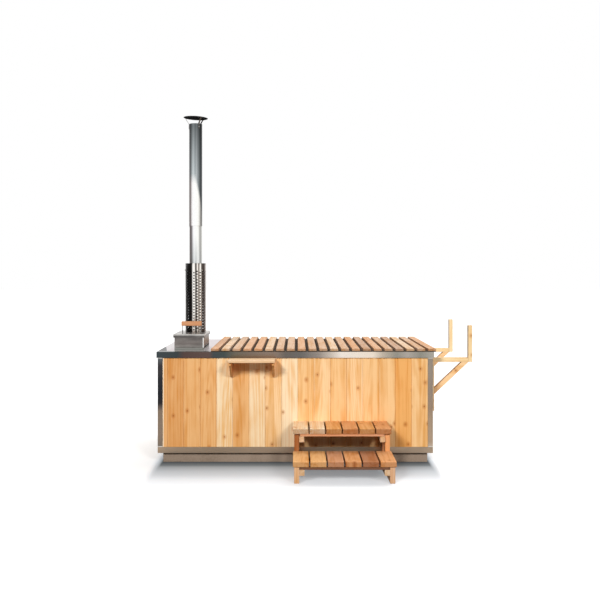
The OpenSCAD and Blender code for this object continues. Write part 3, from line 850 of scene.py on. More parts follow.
@dataclass
class Studio:
    """Camera, floor and light.

    Attributes:
        eye: Place of the camera.
        lens: Focal length in millimetres on a sensor 36 mm wide.
        shift: Sideways and upward shift of the frame.
        ambient: Light from all round.
        lamps: Lamps at the front left, at the front right and behind.
        floor: Half the width of the floor.
        paper: How much light the floor gives back.
        paper_mirrored: How pale the floor looks in the metal.
        paper_seen: How pale the floor looks itself.
        paper_glow: How much of that paleness stays in the shadow.
        foot: Half the length and half the width of the tub's foot on the floor.
        shade: Tones of the painted shadow on the floor, from the foot outwards.
        reach: How far they reach in front of the foot.
        side: How much quicker they fade beside the foot.
    """

    eye: Point = (0.0125, -7.11, 1.408)
    lens: float = 52.9
    shift: tuple[float, float] = (0.005, -0.0467)
    ambient: float = 0.12
    lamps: tuple[Lamp, ...] = (
        Lamp("key", 1.93, (-0.44, -1.0, 0.52), 12.0),
        Lamp("fill", 1.16, (0.50, -1.0, 0.50), 12.0),
        Lamp("back", 2.35, (0.45, 0.8, 1.0), 60.0),
    )
    floor: float = 60.0
    paper: float = 0.20
    paper_mirrored: float = 0.92
    paper_seen: float = 0.80
    paper_glow: float = 0.42
    foot: tuple[float, float] = (0.977, 0.574)
    shade: tuple[Stop, ...] = (
        (0.0, 81, 84, 85), (0.13, 120, 126, 129), (0.2, 163, 169, 174), (0.35, 193, 199, 204),
        (0.48, 209, 213, 217), (0.62, 231, 234, 237), (0.78, 243, 245, 248), (1.0, 255, 255, 255),
    )
    reach: float = 0.90
    side: float = 11.0

    def build(self) -> None:
        """Sets up the camera, the floor, the world and the lamps."""
        self.place_camera()
        self.lay_floor()
        self.light()

    def place_camera(self) -> None:
        """Puts the camera where the photograph was taken from."""
        camera = bpy.data.cameras.new("camera")
        camera.lens = self.lens
        camera.sensor_width = 36
        camera.shift_x, camera.shift_y = self.shift
        holder = bpy.data.objects.new("camera", camera)
        holder.location = self.eye
        holder.rotation_euler = (math.radians(90), 0, 0)
        bpy.context.scene.collection.objects.link(holder)
        bpy.context.scene.camera = holder

    def lay_floor(self) -> None:
        """Lays a wide pale floor that keeps the object's shadow, with a painted shadow round the
        tub's foot.
        """
        half = self.floor
        mesh = bpy.data.meshes.new("floor")
        corners = [(-half, -half, 0), (half, -half, 0), (half, half, 0), (-half, half, 0)]
        mesh.from_pydata(corners, [], [(0, 1, 2, 3)])
        floor = bpy.data.objects.new("floor", mesh)
        bpy.context.scene.collection.objects.link(floor)
        recipe = Recipe("floor_paper")
        seen = self.seen_directly(recipe.tree)
        # A painted shadow on the floor is darkest where it meets the tub's foot
        gaps = []
        for axis, edge, pull in zip(Axis, self.foot, (self.side, 1.0)):
            gap = recipe.math("ABSOLUTE", recipe.part(recipe.place, axis))
            gap = recipe.math("MAXIMUM", recipe.math("SUBTRACT", gap, edge), 0.0)
            gap = recipe.math("MULTIPLY", gap, pull / self.reach)
            gaps.append(recipe.math("MULTIPLY", gap, gap))
        tones = recipe.bands(recipe.math("SQRT", recipe.math("ADD", *gaps)), self.shade)
        pale = recipe.math("MULTIPLY", seen, self.paper_mirrored - self.paper)
        direct = recipe.add("LightPath", {}, "Is Camera Ray")
        extra = recipe.math("MULTIPLY", direct, self.paper_seen - self.paper_mirrored)
        pale = recipe.math("ADD", recipe.math("ADD", pale, extra), self.paper)
        recipe.plain(
            Base_Color=recipe.shaded(tones, pale),
            Emission_Color=tones,
            Emission_Strength=recipe.math("MULTIPLY", direct, self.paper_glow),
            Roughness=1.0,
            Specular_IOR_Level=0.0,
        )
        mesh.materials.append(recipe.material)

    def light(self) -> None:
        """Lights the object from all round, from the front and from behind."""
        world = bpy.data.worlds.new("studio")
        world.use_nodes = True
        tree = world.node_tree
        tree.nodes.clear()
        plain = add_node(tree, "Background", {"Strength": self.ambient, "Color": WHITE})
        white = add_node(tree, "Background", {"Color": WHITE})
        ways = {0: self.seen_directly(tree), 1: plain.outputs[0], 2: white.outputs[0]}
        choice = add_node(tree, "MixShader", ways)
        add_node(tree, "OutputWorld", {"Surface": choice.outputs[0]})
        bpy.context.scene.world = world
        for lamp in self.lamps:
            sun = bpy.data.lights.new(lamp.name, "SUN")
            sun.energy = lamp.strength
            sun.angle = math.radians(lamp.width)
            holder = bpy.data.objects.new(lamp.name, sun)
            holder.rotation_euler = Vector(lamp.source).to_track_quat("Z", "Y").to_euler()
            # The metal mirrors the white room, not the lamps
            holder.visible_glossy = False
            bpy.context.scene.collection.objects.link(holder)
        bpy.context.scene.view_settings.view_transform = "Standard"

    @staticmethod
    def seen_directly(tree: bpy.types.NodeTree) -> Socket:
        """Says whether a ray comes from the camera, a mirror or glass.

        Args:
            tree: Node tree to add the nodes to.

        Returns:
            1 for such a ray, else 0.
        """
        rays = add_node(tree, "LightPath").outputs
        seen = rays["Is Camera Ray"]
        for other in ("Is Glossy Ray", "Is Transmission Ray"):
            ways = {0: seen, 1: rays[other]}
            seen = add_node(tree, "Math", ways, operation="MAXIMUM").outputs[0]
        return seen


@dataclass
class TubShell:
    """Plinth, base rail, corner posts, rim, tank and foam.

    Attributes:
        rim_ease: Rounding of the folded rim.
        sheet_ease: Rounding of the other folded sheet.
        rim_half: Half the length of the rim.
        long_side: Length that only the pieces of the long sides exceed.
        post_reach: Heights between which the front posts carry painted reflections.
        plate: Thickness of the plates that close the base rail.
        plate_inset: How far they stand back from the rail's faces.
        weld_size: Height of the welds at the posts' ends, and width of the filler strip.
        weld_proud: How far the welds stand out.
    """

    rim_ease: float = 0.0016
    sheet_ease: float = 0.0010
    rim_half: float = 1.023
    long_side: float = 1.0
    post_reach: tuple[float, float] = (0.118, 0.817)
    plate: float = 0.0016
    plate_inset: float = 0.0006
    weld_size: float = 0.009
    weld_proud: float = 0.0008

    def build(self) -> None:
        """Builds the metal frame and dresses the foam and the plinth."""
        self.fold_rim()
        self.fold_posts()
        rail = SheetSteel("rail_steel", (180, 159, 137), Axis.X, 0.4, 0.14)
        refine("base_channel", "base_rail", rail, "rim_metal", ease=self.sheet_ease)
        self.close_rail(rail)
        plinth = Coating("plinth_stain", (160, 141, 124), (138, 120, 104), 90.0, 0.7)
        refine("plinth_boards", "plinth", plinth, "plinth_wood", ease=0.0025)
        tank = SheetSteel("tank_steel", (196, 198, 200), Axis.X, 0.3, 0.12)
        refine("tank_well", "tank", tank, "tank_metal", ease=0.0006)
        foam = Coating("wall_foam", (232, 214, 150), (214, 190, 118), 240.0, 0.9, 0.0012)
        finish_node("insulation", foam)

    def close_rail(self, steel: SheetSteel) -> None:
        """Closes the open ends of the long channels with small plates.

        Args:
            steel: Finish of the plates.
        """
        inset, thick = self.plate_inset, self.plate
        plates = []
        for solid in solids_of("base_rail"):
            if solid.span(Axis.X) < self.long_side:
                continue
            near, far = solid.low(Axis.Y) + inset, solid.high(Axis.Y) - inset
            foot, top = solid.low(Axis.Z) + inset, solid.high(Axis.Z) - inset
            for start in (solid.low(Axis.X) + inset, solid.high(Axis.X) - inset - thick):
                plates.append((bar((start, near, foot), (start + thick, far, top)), steel))
        assemble("rail_plates", plates, 0.0, "rim_metal")

    def fold_rim(self) -> None:
        """Folds the rim, whose fascia carries painted reflections of the things that stand in front
        of it.
        """
        tones = (
            (0.0, 66, 74, 76), (0.075, 62, 68, 70), (0.1, 88, 70, 66), (0.19, 97, 79, 74),
            (0.205, 70, 76, 78), (0.245, 72, 80, 78), (0.285, 108, 103, 92), (0.34, 124, 111, 100),
            (0.4, 138, 122, 110), (0.43, 138, 122, 110), (0.465, 108, 101, 95),
            (0.52, 110, 107, 104), (0.585, 150, 140, 132), (0.63, 200, 188, 176),
            (0.665, 236, 225, 214), (0.78, 232, 218, 202), (0.815, 190, 178, 162),
            (0.865, 150, 146, 136), (0.905, 176, 168, 160), (0.95, 146, 144, 134),
            (1.0, 176, 170, 160),
        )
        fascia = Mirrored(Axis.X, -self.rim_half, self.rim_half, tones)
        steel = SheetSteel("fascia_steel", (150, 142, 134), Axis.X, 0.22, 0.06, fascia)
        lip = SheetSteel("rim_steel", (226, 220, 220), Axis.X, 0.3, 0.06)
        # A painted reflection darkens the left side's lip outside a line that slants over it
        tones = (
            (0.0, 22, 22, 24), (0.42, 30, 30, 32), (0.62, 225, 218, 218), (1.0, 226, 220, 220),
        )
        beside = Mirrored(Axis.Y, -6.48, -6.28, tones, lean=6.1)
        left_lip = SheetSteel("left_rim_steel", (226, 220, 220), Axis.Y, 0.3, 0.06, beside)
        parts = []
        for solid in solids_of("top_rim"):
            if solid.span(Axis.X) > self.long_side:
                parts.append((solid, steel if solid.high(Axis.Y) < 0 else lip))
            else:
                parts.append((solid, left_lip if solid.high(Axis.X) < 0 else lip))
        assemble("rim_angles", parts, self.rim_ease, "rim_metal", "top_rim", rings=3)

    def fold_posts(self) -> None:
        """Folds the corner posts and adds the small welded tabs at their ends."""
        # The front posts carry painted reflections, dark on the left post and warm on the right one
        tones = (
            (0.0, 138, 126, 112), (0.12, 146, 128, 112), (0.38, 140, 122, 104), (0.4, 118, 104, 95),
            (0.46, 50, 47, 48), (0.56, 42, 44, 48), (0.72, 52, 52, 55), (0.78, 64, 62, 62),
            (0.86, 66, 62, 64), (0.93, 100, 104, 106), (1.0, 120, 124, 124),
        )
        left = Mirrored(Axis.Z, *self.post_reach, tones)
        tones = (
            (0.0, 196, 178, 160), (0.06, 174, 152, 130), (0.3, 168, 146, 124), (0.4, 158, 136, 116),
            (0.55, 152, 136, 122), (0.8, 150, 138, 126), (0.94, 150, 139, 127),
            (1.0, 140, 138, 130),
        )
        right = Mirrored(Axis.Z, *self.post_reach, tones)
        dark = SheetSteel("post_steel_dark", (110, 104, 100), Axis.Z, 0.26, 0.08, left)
        warm = SheetSteel("post_steel_warm", (160, 144, 128), Axis.Z, 0.28, 0.08, right)
        grey = SheetSteel("post_steel", (158, 152, 144), Axis.Z, 0.3, 0.12)
        parts = []
        for solid in solids_of("corner_posts"):
            front = solid.middle(Axis.Y) < 0
            side = dark if solid.middle(Axis.X) < 0 else warm
            parts.append((solid, side if front else grey))
        assemble("posts", parts, self.sheet_ease, "rim_metal", "corner_posts")
        self.lay_welds()

    def lay_welds(self) -> None:
        """Lays the ground welds at both ends of the posts, and the strip beside the first one."""
        bright = SheetSteel("weld_steel", (224, 220, 213), Axis.X, 0.3, 0.1)
        fascia_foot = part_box("top_rim")[0].z
        welds = []
        for solid in solids_of("corner_posts"):
            front = solid.middle(Axis.Y) < 0
            face = solid.low(Axis.Y) if front else solid.high(Axis.Y)
            low, high = sorted((face, face + (-self.weld_proud if front else self.weld_proud)))
            for foot in (solid.low(Axis.Z), fascia_foot - self.weld_size / 2):
                start = (solid.low(Axis.X) + 0.001, low, foot)
                end = (solid.high(Axis.X) - 0.001, high, foot + self.weld_size * 0.7)
                welds.append((bar(start, end), bright))
        assemble("post_welds", welds, 0.0003, "rim_metal")
        post = next(s for s in solids_of("corner_posts") if s.middle(Axis.X) < 0)
        inner = post.high(Axis.X)
        strip = Coating("joint_filler", (255, 228, 194), (248, 214, 176), 260.0, 0.7, 0.0003)
        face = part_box("cladding_front")[0].y
        filler = bar(
            (inner + 0.0005, face - 0.0016, post.low(Axis.Z)),
            (inner + self.weld_size, face, fascia_foot),
        )
        assemble("post_filler", [(filler, strip)], 0.0005, "cedar_cladding")


@dataclass
class Cladding:
    """Upright boards on the four walls.

    Attributes:
        front: Tones of the front boards, from left to right.
        mixed: Tones that the other boards are picked from.
        contrast: Strength of the front boards' streaks.
        knots: Share of places in them that hold a knot.
        ease: Rounding along the boards' edges.
    """

    front: tuple[Wood, ...] = (
        Wood.TAWNY, Wood.TAWNY, Wood.AMBER, Wood.AMBER, Wood.CREAM, Wood.AMBER, Wood.CREAM,
        Wood.STRAW, Wood.CREAM, Wood.HONEY, Wood.STRAW, Wood.HONEY, Wood.STRAW, Wood.HONEY,
        Wood.HONEY, Wood.ORANGE, Wood.HONEY, Wood.STRAW,
    )
    mixed: tuple[Wood, ...] = (
        Wood.CREAM, Wood.STRAW, Wood.STRAW, Wood.HONEY, Wood.HONEY, Wood.AMBER, Wood.AMBER,
    )
    contrast: float = 1.15
    knots: float = 0.45
    ease: float = 0.0008

    def build(self) -> None:
        """Builds the front, the rear and the two ends."""
        parts = [
            (board, Timber(wood, Axis.Z, Axis.Y, self.contrast, self.knots))
            for board, wood in zip(solids_of("cladding_front"), self.front)
        ]
        assemble("front_boards", parts, self.ease, "cedar_cladding", "cladding_front")
        for name, node, face in (
            ("rear_boards", "cladding_back", Axis.Y), ("end_boards", "cladding_ends", Axis.X)
        ):
            dice = random.Random(node)
            parts = [
                (board, Timber(dice.choice(self.mixed), Axis.Z, face)) for board in solids_of(node)
            ]
            assemble(name, parts, self.ease, "cedar_cladding", node)


@dataclass
class Stove:
    """Firebox, grate, neck with its sliding lid, and the deck round it.

    Attributes:
        sheet_ease: Rounding of the folded sheet.
        grip_ease: Rounding of the wooden grip.
        seam: Width of the bright strip at the neck's right-hand front corner, a painted highlight.
        rope: How far the dark strips, a painted shade of the gap under the neck's sides, stand out.
    """

    sheet_ease: float = 0.0010
    grip_ease: float = 0.0025
    seam: float = 0.0055
    rope: float = 0.0012

    def build(self) -> None:
        """Builds the stove from its deck up to the grip."""
        foot, top = (corner.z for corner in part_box("stove_deck"))
        # The deck's tones change with its height, painted reflections
        tones = (
            (0.0, 226, 216, 217), (0.13, 226, 216, 217), (0.16, 168, 168, 162),
            (0.6, 150, 150, 144), (1.0, 160, 160, 154),
        )
        level = Mirrored(Axis.Z, foot, top, tones)
        deck = SheetSteel("deck_steel", (226, 216, 217), Axis.Y, 0.35, 0.05, level)
        refine("deck_plate", "stove_deck", deck, "deck_metal", ease=0.0006)
        foot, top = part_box("stove_neck")[0].z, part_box("stove_lid")[1].z
        # The neck and the lid carry painted reflections that change with height, and their strong
        # cloudy marks are painted reflections too
        tones = (
            (0.0, 176, 177, 171), (0.34, 164, 164, 158), (0.5, 146, 141, 136),
            (0.62, 116, 109, 105), (0.93, 112, 108, 105), (0.97, 200, 198, 194),
            (1.0, 196, 192, 187),
        )
        sides = Mirrored(Axis.Z, foot, top, tones)
        body = SheetSteel("neck_steel", (140, 136, 131), Axis.X, 0.3, 0.4, sides, 22.0)
        refine("neck_box", "stove_neck", body, "neck_metal", ease=self.sheet_ease)
        refine("sliding_lid", "stove_lid", body, "neck_metal", "stove_lid", self.sheet_ease)
        self.trim_neck()
        dull = SheetSteel("strap_sheet", (72, 70, 68), Axis.Z, 0.3, 0.1)
        refine("grip_straps", "grip_strips", dull, "neck_metal", "stove_lid", 0.0004)
        grip = Timber(Wood.TAN, Axis.X, Axis.Y, knots=0.0)
        refine("grip_bar", "lid_grip", grip, "grip_wood", "stove_lid", self.grip_ease)
        plate = Coating("stove_plate", (84, 82, 80), (58, 56, 55), 120.0, 0.5, 0.0003, 0.8)
        refine("firebox_plates", "firebox", plate, "stove_plate", ease=0.0012)
        iron = Coating("cast_iron", (38, 36, 35), (58, 50, 44), 160.0, 0.75, 0.0008, 0.4)
        refine("grate_bars", "fire_grate", iron, "iron", ease=0.0015)

    def trim_neck(self) -> None:
        """Adds a painted highlight at the neck's front corner and strips of painted shade under its
        sides.
        """
        low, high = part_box("stove_neck")
        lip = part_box("stove_lid")[0]
        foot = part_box("stove_deck")[1].z
        # A bright strip down the neck's right-hand front corner is a painted highlight
        bright = SheetSteel("seam_steel", (250, 250, 248), Axis.Z, 0.25, 0.05)
        wide, proud = self.seam, 0.0006
        # The lid's lip stands out from the neck by as much at its front as at its sides
        lip_out = low.y - lip.y
        right = high.x - lip_out
        seam = bar(
            (right - wide, low.y - proud, foot + 0.002),
            (right + proud, low.y + 0.002, lip.z - 0.001),
        )
        assemble("neck_seam", [(seam, bright)], 0.0003, "neck_metal")
        # Dark strips under the neck's sides are a painted shade of the gap at the neck's foot
        rope = Coating("seal_rope", (24, 23, 22), (44, 42, 40), 500.0, 0.9, 0.0006)
        gap_shades = []
        for side, out in ((low.x + lip_out, -self.rope), (right, self.rope)):
            start, end = sorted((side, side + out))
            near, far = low.y + 0.012, high.y - 0.020
            gap_shades.append((bar((start, near, foot - 0.004), (end, far, foot + 0.005)), rope))
        assemble("seal_ropes", gap_shades, 0.0005, "stove_plate")


@dataclass
class Chimney:
    """Two pipes, the perforated guard, the collar and the rain cap.

    Attributes:
        sheet: Thickness of the pipes' sheet.
        lower: Radius of the lower pipe.
        guard_columns: Columns of holes round the guard.
        guard_turn: How far the first of them is turned round, in columns.
        guard_sheet: Thickness of the guard.
        hole: Radius of each hole.
        row: Height between the holes of one column.
        plain_top: Plain band at the guard's top.
        plain_foot: Plain band at the guard's foot.
        band: Heights of the pressed band round the guard.
        bead: Radius of the wire edges.
        cap_rise: Height of the rain cap's cone.
        cap_sheet: Thickness of its sheet.
        tilt: Tilt of the rain cap, left side up, in degrees.
        seam: Half the width of the folded seam down the rear.
        slant: Height by which the painted highlight on the pipe falls from its front to its right
            side.
    """

    sheet: float = 0.0014
    lower: float = 0.048
    guard_columns: int = 20
    guard_turn: float = 0.8
    guard_sheet: float = 0.0015
    hole: float = 0.0056
    row: float = 0.0219
    plain_top: float = 0.036
    plain_foot: float = 0.012
    band: tuple[float, float] = (1.3655, 1.373)
    bead: float = 0.0016
    cap_rise: float = 0.019
    cap_sheet: float = 0.0015
    tilt: float = 2.4
    seam: float = 0.0035
    slant: float = 0.66

    def __post_init__(self) -> None:
        """Reads the chimney's places from the frame."""
        self.centre = middle_of("chimney_upper")
        self.upper, self.guard, self.cap = (
            (low.z, high.z, (high.x - low.x) / 2)
            for low, high in map(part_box, ("chimney_upper", "heat_guard", "rain_cap"))
        )
        self.foot, self.lap = (corner.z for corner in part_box("chimney_lower"))

    def build(self) -> None:
        """Builds the pipes, the guard, the collar, the spacers and the cap."""
        self.roll_pipes()
        self.punch_guard()
        self.form_cap()
        collar = SheetSteel("collar_steel", (160, 156, 150), Axis.Z, 0.3, 0.15)
        refine("flue_socket", "flue_collar", collar, "pipe_metal", ease=0.0006)
        refine("spacer_pins", "guard_spacers", collar, "screw_metal", ease=0.0005)

    def metal(self) -> TurnedSteel:
        """Finish of the pipes, with painted reflections, bright in the middle and dark towards
        their sides.
        """
        bright = (
            (0.0, 120, 114, 112), (0.1, 100, 92, 91), (0.217, 112, 102, 100),
            (0.295, 160, 153, 152), (0.345, 240, 237, 237), (0.42, 255, 255, 254),
            (0.63, 255, 255, 250), (0.7, 238, 236, 231), (0.76, 176, 174, 169),
            (0.83, 124, 122, 118), (0.92, 116, 114, 110), (1.0, 195, 193, 190),
        )
        dull = (
            (0.0, 96, 96, 96), (0.12, 72, 72, 73), (0.22, 84, 86, 87), (0.295, 128, 132, 134),
            (0.35, 172, 180, 182), (0.41, 204, 212, 214), (0.46, 186, 194, 196),
            (0.52, 158, 166, 168), (0.565, 186, 192, 194), (0.62, 156, 162, 164),
            (0.67, 134, 140, 141), (0.725, 96, 101, 102), (0.8, 62, 66, 68), (0.92, 76, 80, 82),
            (1.0, 150, 150, 150),
        )
        return TurnedSteel(
            "pipe_steel", self.centre, bright, dull, (2.09, 2.17),
            slant=self.slant, fade=(2.18, 2.53, 0.34),
        )

    def foot_metal(self) -> TurnedSteel:
        """Finish of the lower pipe, whose painted reflections darken on its left side towards the
        guard.
        """
        low = (
            (0.0, 120, 116, 113), (0.1, 106, 101, 98), (0.2, 104, 99, 96), (0.28, 82, 80, 77),
            (0.35, 102, 105, 104), (0.41, 160, 165, 164), (0.463, 218, 223, 223),
            (0.515, 190, 195, 195), (0.567, 176, 180, 180), (0.62, 210, 214, 213),
            (0.675, 236, 239, 239), (0.735, 194, 197, 197), (0.8, 144, 146, 146),
            (0.9, 150, 152, 152), (1.0, 190, 190, 189),
        )
        high = (
            (0.0, 118, 112, 110), (0.1, 94, 86, 85), (0.2, 100, 91, 90), (0.283, 104, 96, 96),
            (0.35, 176, 172, 173), (0.41, 246, 245, 247), (0.46, 255, 255, 254),
            (0.63, 255, 255, 250), (0.69, 240, 239, 234), (0.74, 186, 185, 180),
            (0.8, 170, 169, 164), (0.9, 190, 189, 184), (1.0, 225, 223, 220),
        )
        return TurnedSteel("foot_pipe_steel", self.centre, low, high, (1.42, 1.70), slant=0.2)

    def roll_pipes(self) -> None:
        """Rolls the lower and the upper pipe, with a bead at their joint and a folded seam."""
        joint, top, radius = self.upper
        inner = radius - self.sheet
        place = (*self.centre, 0.0)
        lower = self.lower
        bore = lower - self.sheet
        hidden = self.guard[1] - 0.004
        # Inside the guard the lower pipe is near black, a painted shade of the enclosed gap
        inner_shade = Coating("smoked_pipe", (24, 22, 21), (34, 31, 29), 200.0, 0.85, 0.0001)
        outline = [(bore, self.foot), (lower, self.foot), (lower, hidden), (bore, hidden)]
        parts = [(turned(outline, place), inner_shade)]
        outline = [
            (bore, hidden), (lower, hidden), (lower, joint - 0.030),
            (lower - 0.0008, joint - 0.026), (lower - 0.0008, joint - 0.022),
            (lower, joint - 0.018), (lower, joint - 0.005), (radius - 0.0004, joint - 0.004),
            (radius, joint - 0.003), (radius, joint - 0.0014), (radius - 0.0006, joint - 0.0004),
            (lower, joint), (lower, self.lap), (bore, self.lap),
        ]
        parts.append((turned(outline, place), self.foot_metal()))
        parts.append((self.fold_seam(lower, hidden, joint - 0.034), self.foot_metal()))
        assemble("lower_pipe", parts, 0.0, "pipe_metal", "chimney_lower")
        outline = [
            (inner, joint), (radius, joint), (radius, joint + 0.020),
            (radius - 0.0007, joint + 0.023), (radius - 0.0007, joint + 0.027),
            (radius, joint + 0.030), (radius, top - 0.004), (radius - 0.0003, top), (inner, top),
        ]
        parts = [(turned(outline, place), self.metal())]
        parts.append((self.fold_seam(radius, joint + 0.032, top - 0.046), self.metal()))
        assemble("upper_pipe", parts, 0.0, "pipe_metal", "chimney_upper")

    def fold_seam(self, radius: float, low: float, high: float) -> Solid:
        """Folded seam that stands a little proud down the rear of a pipe.

        Args:
            radius: Outside radius of the pipe.
            low: Where the seam starts.
            high: Where it ends.

        Returns:
            The seam.
        """
        half = self.seam
        outline = [(-half, 0.0), (-half * 0.8, 0.0008), (half * 0.8, 0.0008), (half, 0.0)]
        points = []
        for level in (low, high):
            for side, rise in outline:
                reach = math.sqrt(radius**2 - side**2) + rise - 0.0001
                points.append(Vector((self.centre[0] + side, self.centre[1] + reach, level)))
        faces = [(3, 2, 1, 0), (4, 5, 6, 7)]
        faces += [(i, (i + 1) % 4, (i + 1) % 4 + 4, i + 4) for i in range(4)]
        return Solid(points, faces)

    def punch_guard(self) -> None:
        """Punches the guard's staggered round holes and rolls its edges."""
        foot, top, radius = self.guard
        columns, row = self.guard_columns, self.row
        start = foot + self.plain_foot + row / 3
        rows = int((top - self.plain_top - start) / row)
        points: list[Vector] = []
        known: dict[tuple[int, int], int] = {}

        def corner(column: int, level: float) -> int:
            """Number of the lattice corner at a column and a level."""
            column %= columns
            key = (column, round(level * 1e5))
            if key not in known:
                known[key] = len(points)
                points.append(self.on_guard(column, level, radius))
            return known[key]

        faces: list[tuple[int, ...]] = []
        for column in range(columns):
            for number in range(rows):
                level = start + number * row + (row / 2 if column % 2 else 0)
                cell = [
                    corner(column + side, level + rise * row / 6)
                    for side, rise in ((0, -2), (1, -1), (1, 1), (0, 2), (-1, 1), (-1, -1))
                ]
                rim = []
                for step in range(12):
                    angle = math.radians(30 * step - 90)
                    swing = self.hole * math.cos(angle) / (2 * math.pi * radius) * columns
                    rise = self.hole * math.sin(angle)
                    rim.append(len(points))
                    points.append(self.on_guard(column + swing, level + rise, radius))
                for side in range(6):
                    after = (side + 1) % 6
                    faces.append(
                        (cell[side], cell[after], rim[(2 * side + 2) % 12], rim[2 * side + 1],
                         rim[2 * side])
                    )
        last = start + (rows - 1) * row + row / 2
        for column in range(columns):
            after = column + 1
            odd, even = (column, after) if column % 2 else (after, column)
            upper = {odd: last + row / 3, even: last + row / 6}
            lower = {even: start - row / 3, odd: start - row / 6}
            for one, two, three, four in (
                (upper[column], upper[after], top, top), (foot, foot, lower[after], lower[column])
            ):
                faces.append(
                    (corner(column, one), corner(after, two), corner(after, three),
                     corner(column, four))
                )
        parts = [(Solid(points, faces), self.guard_metal())]
        guard = assemble("perforated_guard", parts, 0.0, "guard_metal", "heat_guard")
        sheet = guard.modifiers.new("sheet", "SOLIDIFY")
        sheet.thickness = self.guard_sheet
        sheet.offset = -1
        edge = radius - self.bead
        low, high = self.band
        band = [
            (radius - 0.0002, low), (radius + 0.0008, low + 0.0005),
            (radius + 0.0008, high - 0.0005), (radius - 0.0002, high),
        ]
        outlines = [rolled_edge(edge, z, self.bead) for z in (foot + self.bead, top - self.bead)]
        beads = [
            (turned(outline, (*self.centre, 0.0)), self.guard_metal())
            for outline in (*outlines, band)
        ]
        assemble("guard_edges", beads, 0.0, "guard_metal")

    def on_guard(self, column: float, level: float, radius: float) -> Vector:
        """Point on the guard at a column and a level.

        Args:
            column: Column, counted from the right-hand side.
            level: Height.
            radius: Radius of the guard.

        Returns:
            The point.
        """
        angle = 2 * math.pi * (column + self.guard_turn) / self.guard_columns
        x, y = self.centre
        return Vector((x + radius * math.cos(angle), y + radius * math.sin(angle), level))

    def guard_metal(self) -> TurnedSteel:
        """Finish of the guard, with narrow bright and dark upright bands of painted reflection."""
        tones = (
            (0.0, 205, 204, 202), (0.1, 150, 148, 146), (0.16, 54, 52, 50), (0.22, 18, 17, 16),
            (0.39, 24, 22, 21), (0.425, 88, 84, 81), (0.445, 255, 252, 246), (0.508, 250, 246, 240),
            (0.528, 84, 78, 72), (0.564, 66, 60, 54), (0.576, 255, 250, 242),
            (0.602, 240, 232, 224), (0.622, 130, 121, 112), (0.652, 150, 141, 132),
            (0.672, 255, 250, 242), (0.704, 252, 246, 238), (0.724, 92, 82, 76), (0.85, 54, 45, 41),
            (0.9, 170, 158, 152), (0.94, 196, 186, 182), (1.0, 236, 230, 226),
        )
        return TurnedSteel("guard_steel", self.centre, tones, tones, (1.0, 1.4), rough=0.24)

    def form_cap(self) -> None:
        """Presses the rain cap with a rolled edge, and bends its three straps."""
        _, high, radius = self.cap
        rise, sheet = self.cap_rise, self.cap_sheet
        level = high - rise / math.cos(math.radians(self.tilt)) - 0.0001
        edge = radius - self.bead
        outline = [
            (0.0, rise - sheet), (edge * 0.5, (rise - sheet) * 0.5 + 0.0004), (edge - 0.002, 0.0),
            (edge, 0.0002), (edge + self.bead, 0.0012), (edge + self.bead, 0.0024),
            (edge, 0.0032), (edge * 0.5, rise * 0.5 + 0.0014), (0.004, rise), (0.0, rise),
        ]
        turn = Matrix.Rotation(math.radians(self.tilt), 3, "Y")
        hat = turned(outline, (*self.centre, level), tilt=turn)
        shaded_cap = ShadedUnderside("cap_sheet", (150, 150, 148), (6, 6, 5))
        assemble("rain_hat", [(hat, shaded_cap)], 0.0, "cap_metal", "rain_cap")
        strap = SheetSteel("strap_steel", (96, 93, 89), Axis.Z, 0.32, 0.12)
        refine("cap_legs", "cap_straps", strap, "cap_metal", ease=0.0004)


@dataclass
class RollCover:
    """Slats of the rolling cover on their strips of mat.

    Attributes:
        count: Number of slats.
        dark: Slats, counted from the stove, that are darker than the rest.
        pale: Slats that are paler.
        warm: Slats that are redder.
        ease: Rounding along the slats' edges.
        mat_ease: Rounding along the strips' edges.
    """

    count: int = 21
    dark: tuple[int, ...] = (15, 18)
    pale: tuple[int, ...] = (2, 6, 12, 19)
    warm: tuple[int, ...] = (1, 4, 5, 9, 14, 16, 21)
    ease: float = 0.0012
    mat_ease: float = 0.0008

    def build(self) -> None:
        """Builds each slat and the strip of mat under it."""
        mat = Coating("cover_mat", (88, 73, 60), (60, 50, 41), 420.0, 0.9, 0.0006)
        for number in range(1, self.count + 1):
            node, body = f"cover_slat_{number:02d}", f"cover_{number:02d}"
            strip, slat = sorted(solids_of(node), key=lambda s: s.middle(Axis.Z))
            # The slats' narrow sides are darkened as painted shade, and their ends partly so
            wood = Timber(self.wood(number), Axis.Y, Axis.Z, 1.2, ends=0.4, edges=0.6)
            name = f"slat_{number:02d}"
            assemble(name, [(slat, wood)], self.ease, "slat_wood", node, body=body)
            name = f"mat_{number:02d}"
            assemble(name, [(strip, mat)], self.mat_ease, "slat_wood", body=body)

    def wood(self, number: int) -> Wood:
        """Tone of one slat.

        Args:
            number: The slat, counted from the stove.

        Returns:
            Its tone.
        """
        if number in self.dark:
            return Wood.SLAT_DARK
        if number in self.warm:
            return Wood.SLAT_WARM
        return Wood.SLAT_PALE if number in self.pale else Wood.SLAT


@dataclass
class Holder:
    """Two wooden brackets that hold the rolled cover.

    Attributes:
        ease: Rounding along the bars' edges.
    """

    ease: float = 0.0022

    def build(self) -> None:
        """Builds the legs, arms, uprights and braces of both brackets."""
        # The darker narrow sides of the uprights and braces are a painted shade
        for name, node, grain, wood, edges in (
            ("bracket_legs", "holder_legs", Axis.Z, Wood.PINE, 0.3),
            ("bracket_arms", "holder_arms", Axis.X, Wood.PINE, 0.0),
            ("bracket_uprights", "holder_uprights", Axis.Z, Wood.PINE, 1.1),
            ("bracket_braces", "holder_braces", Axis.X, Wood.STRAW, 2.0),
        ):
            wood_finish = Timber(wood, grain, Axis.Y, 0.8, edges=edges)
            refine(name, node, wood_finish, "holder_wood", ease=self.ease)


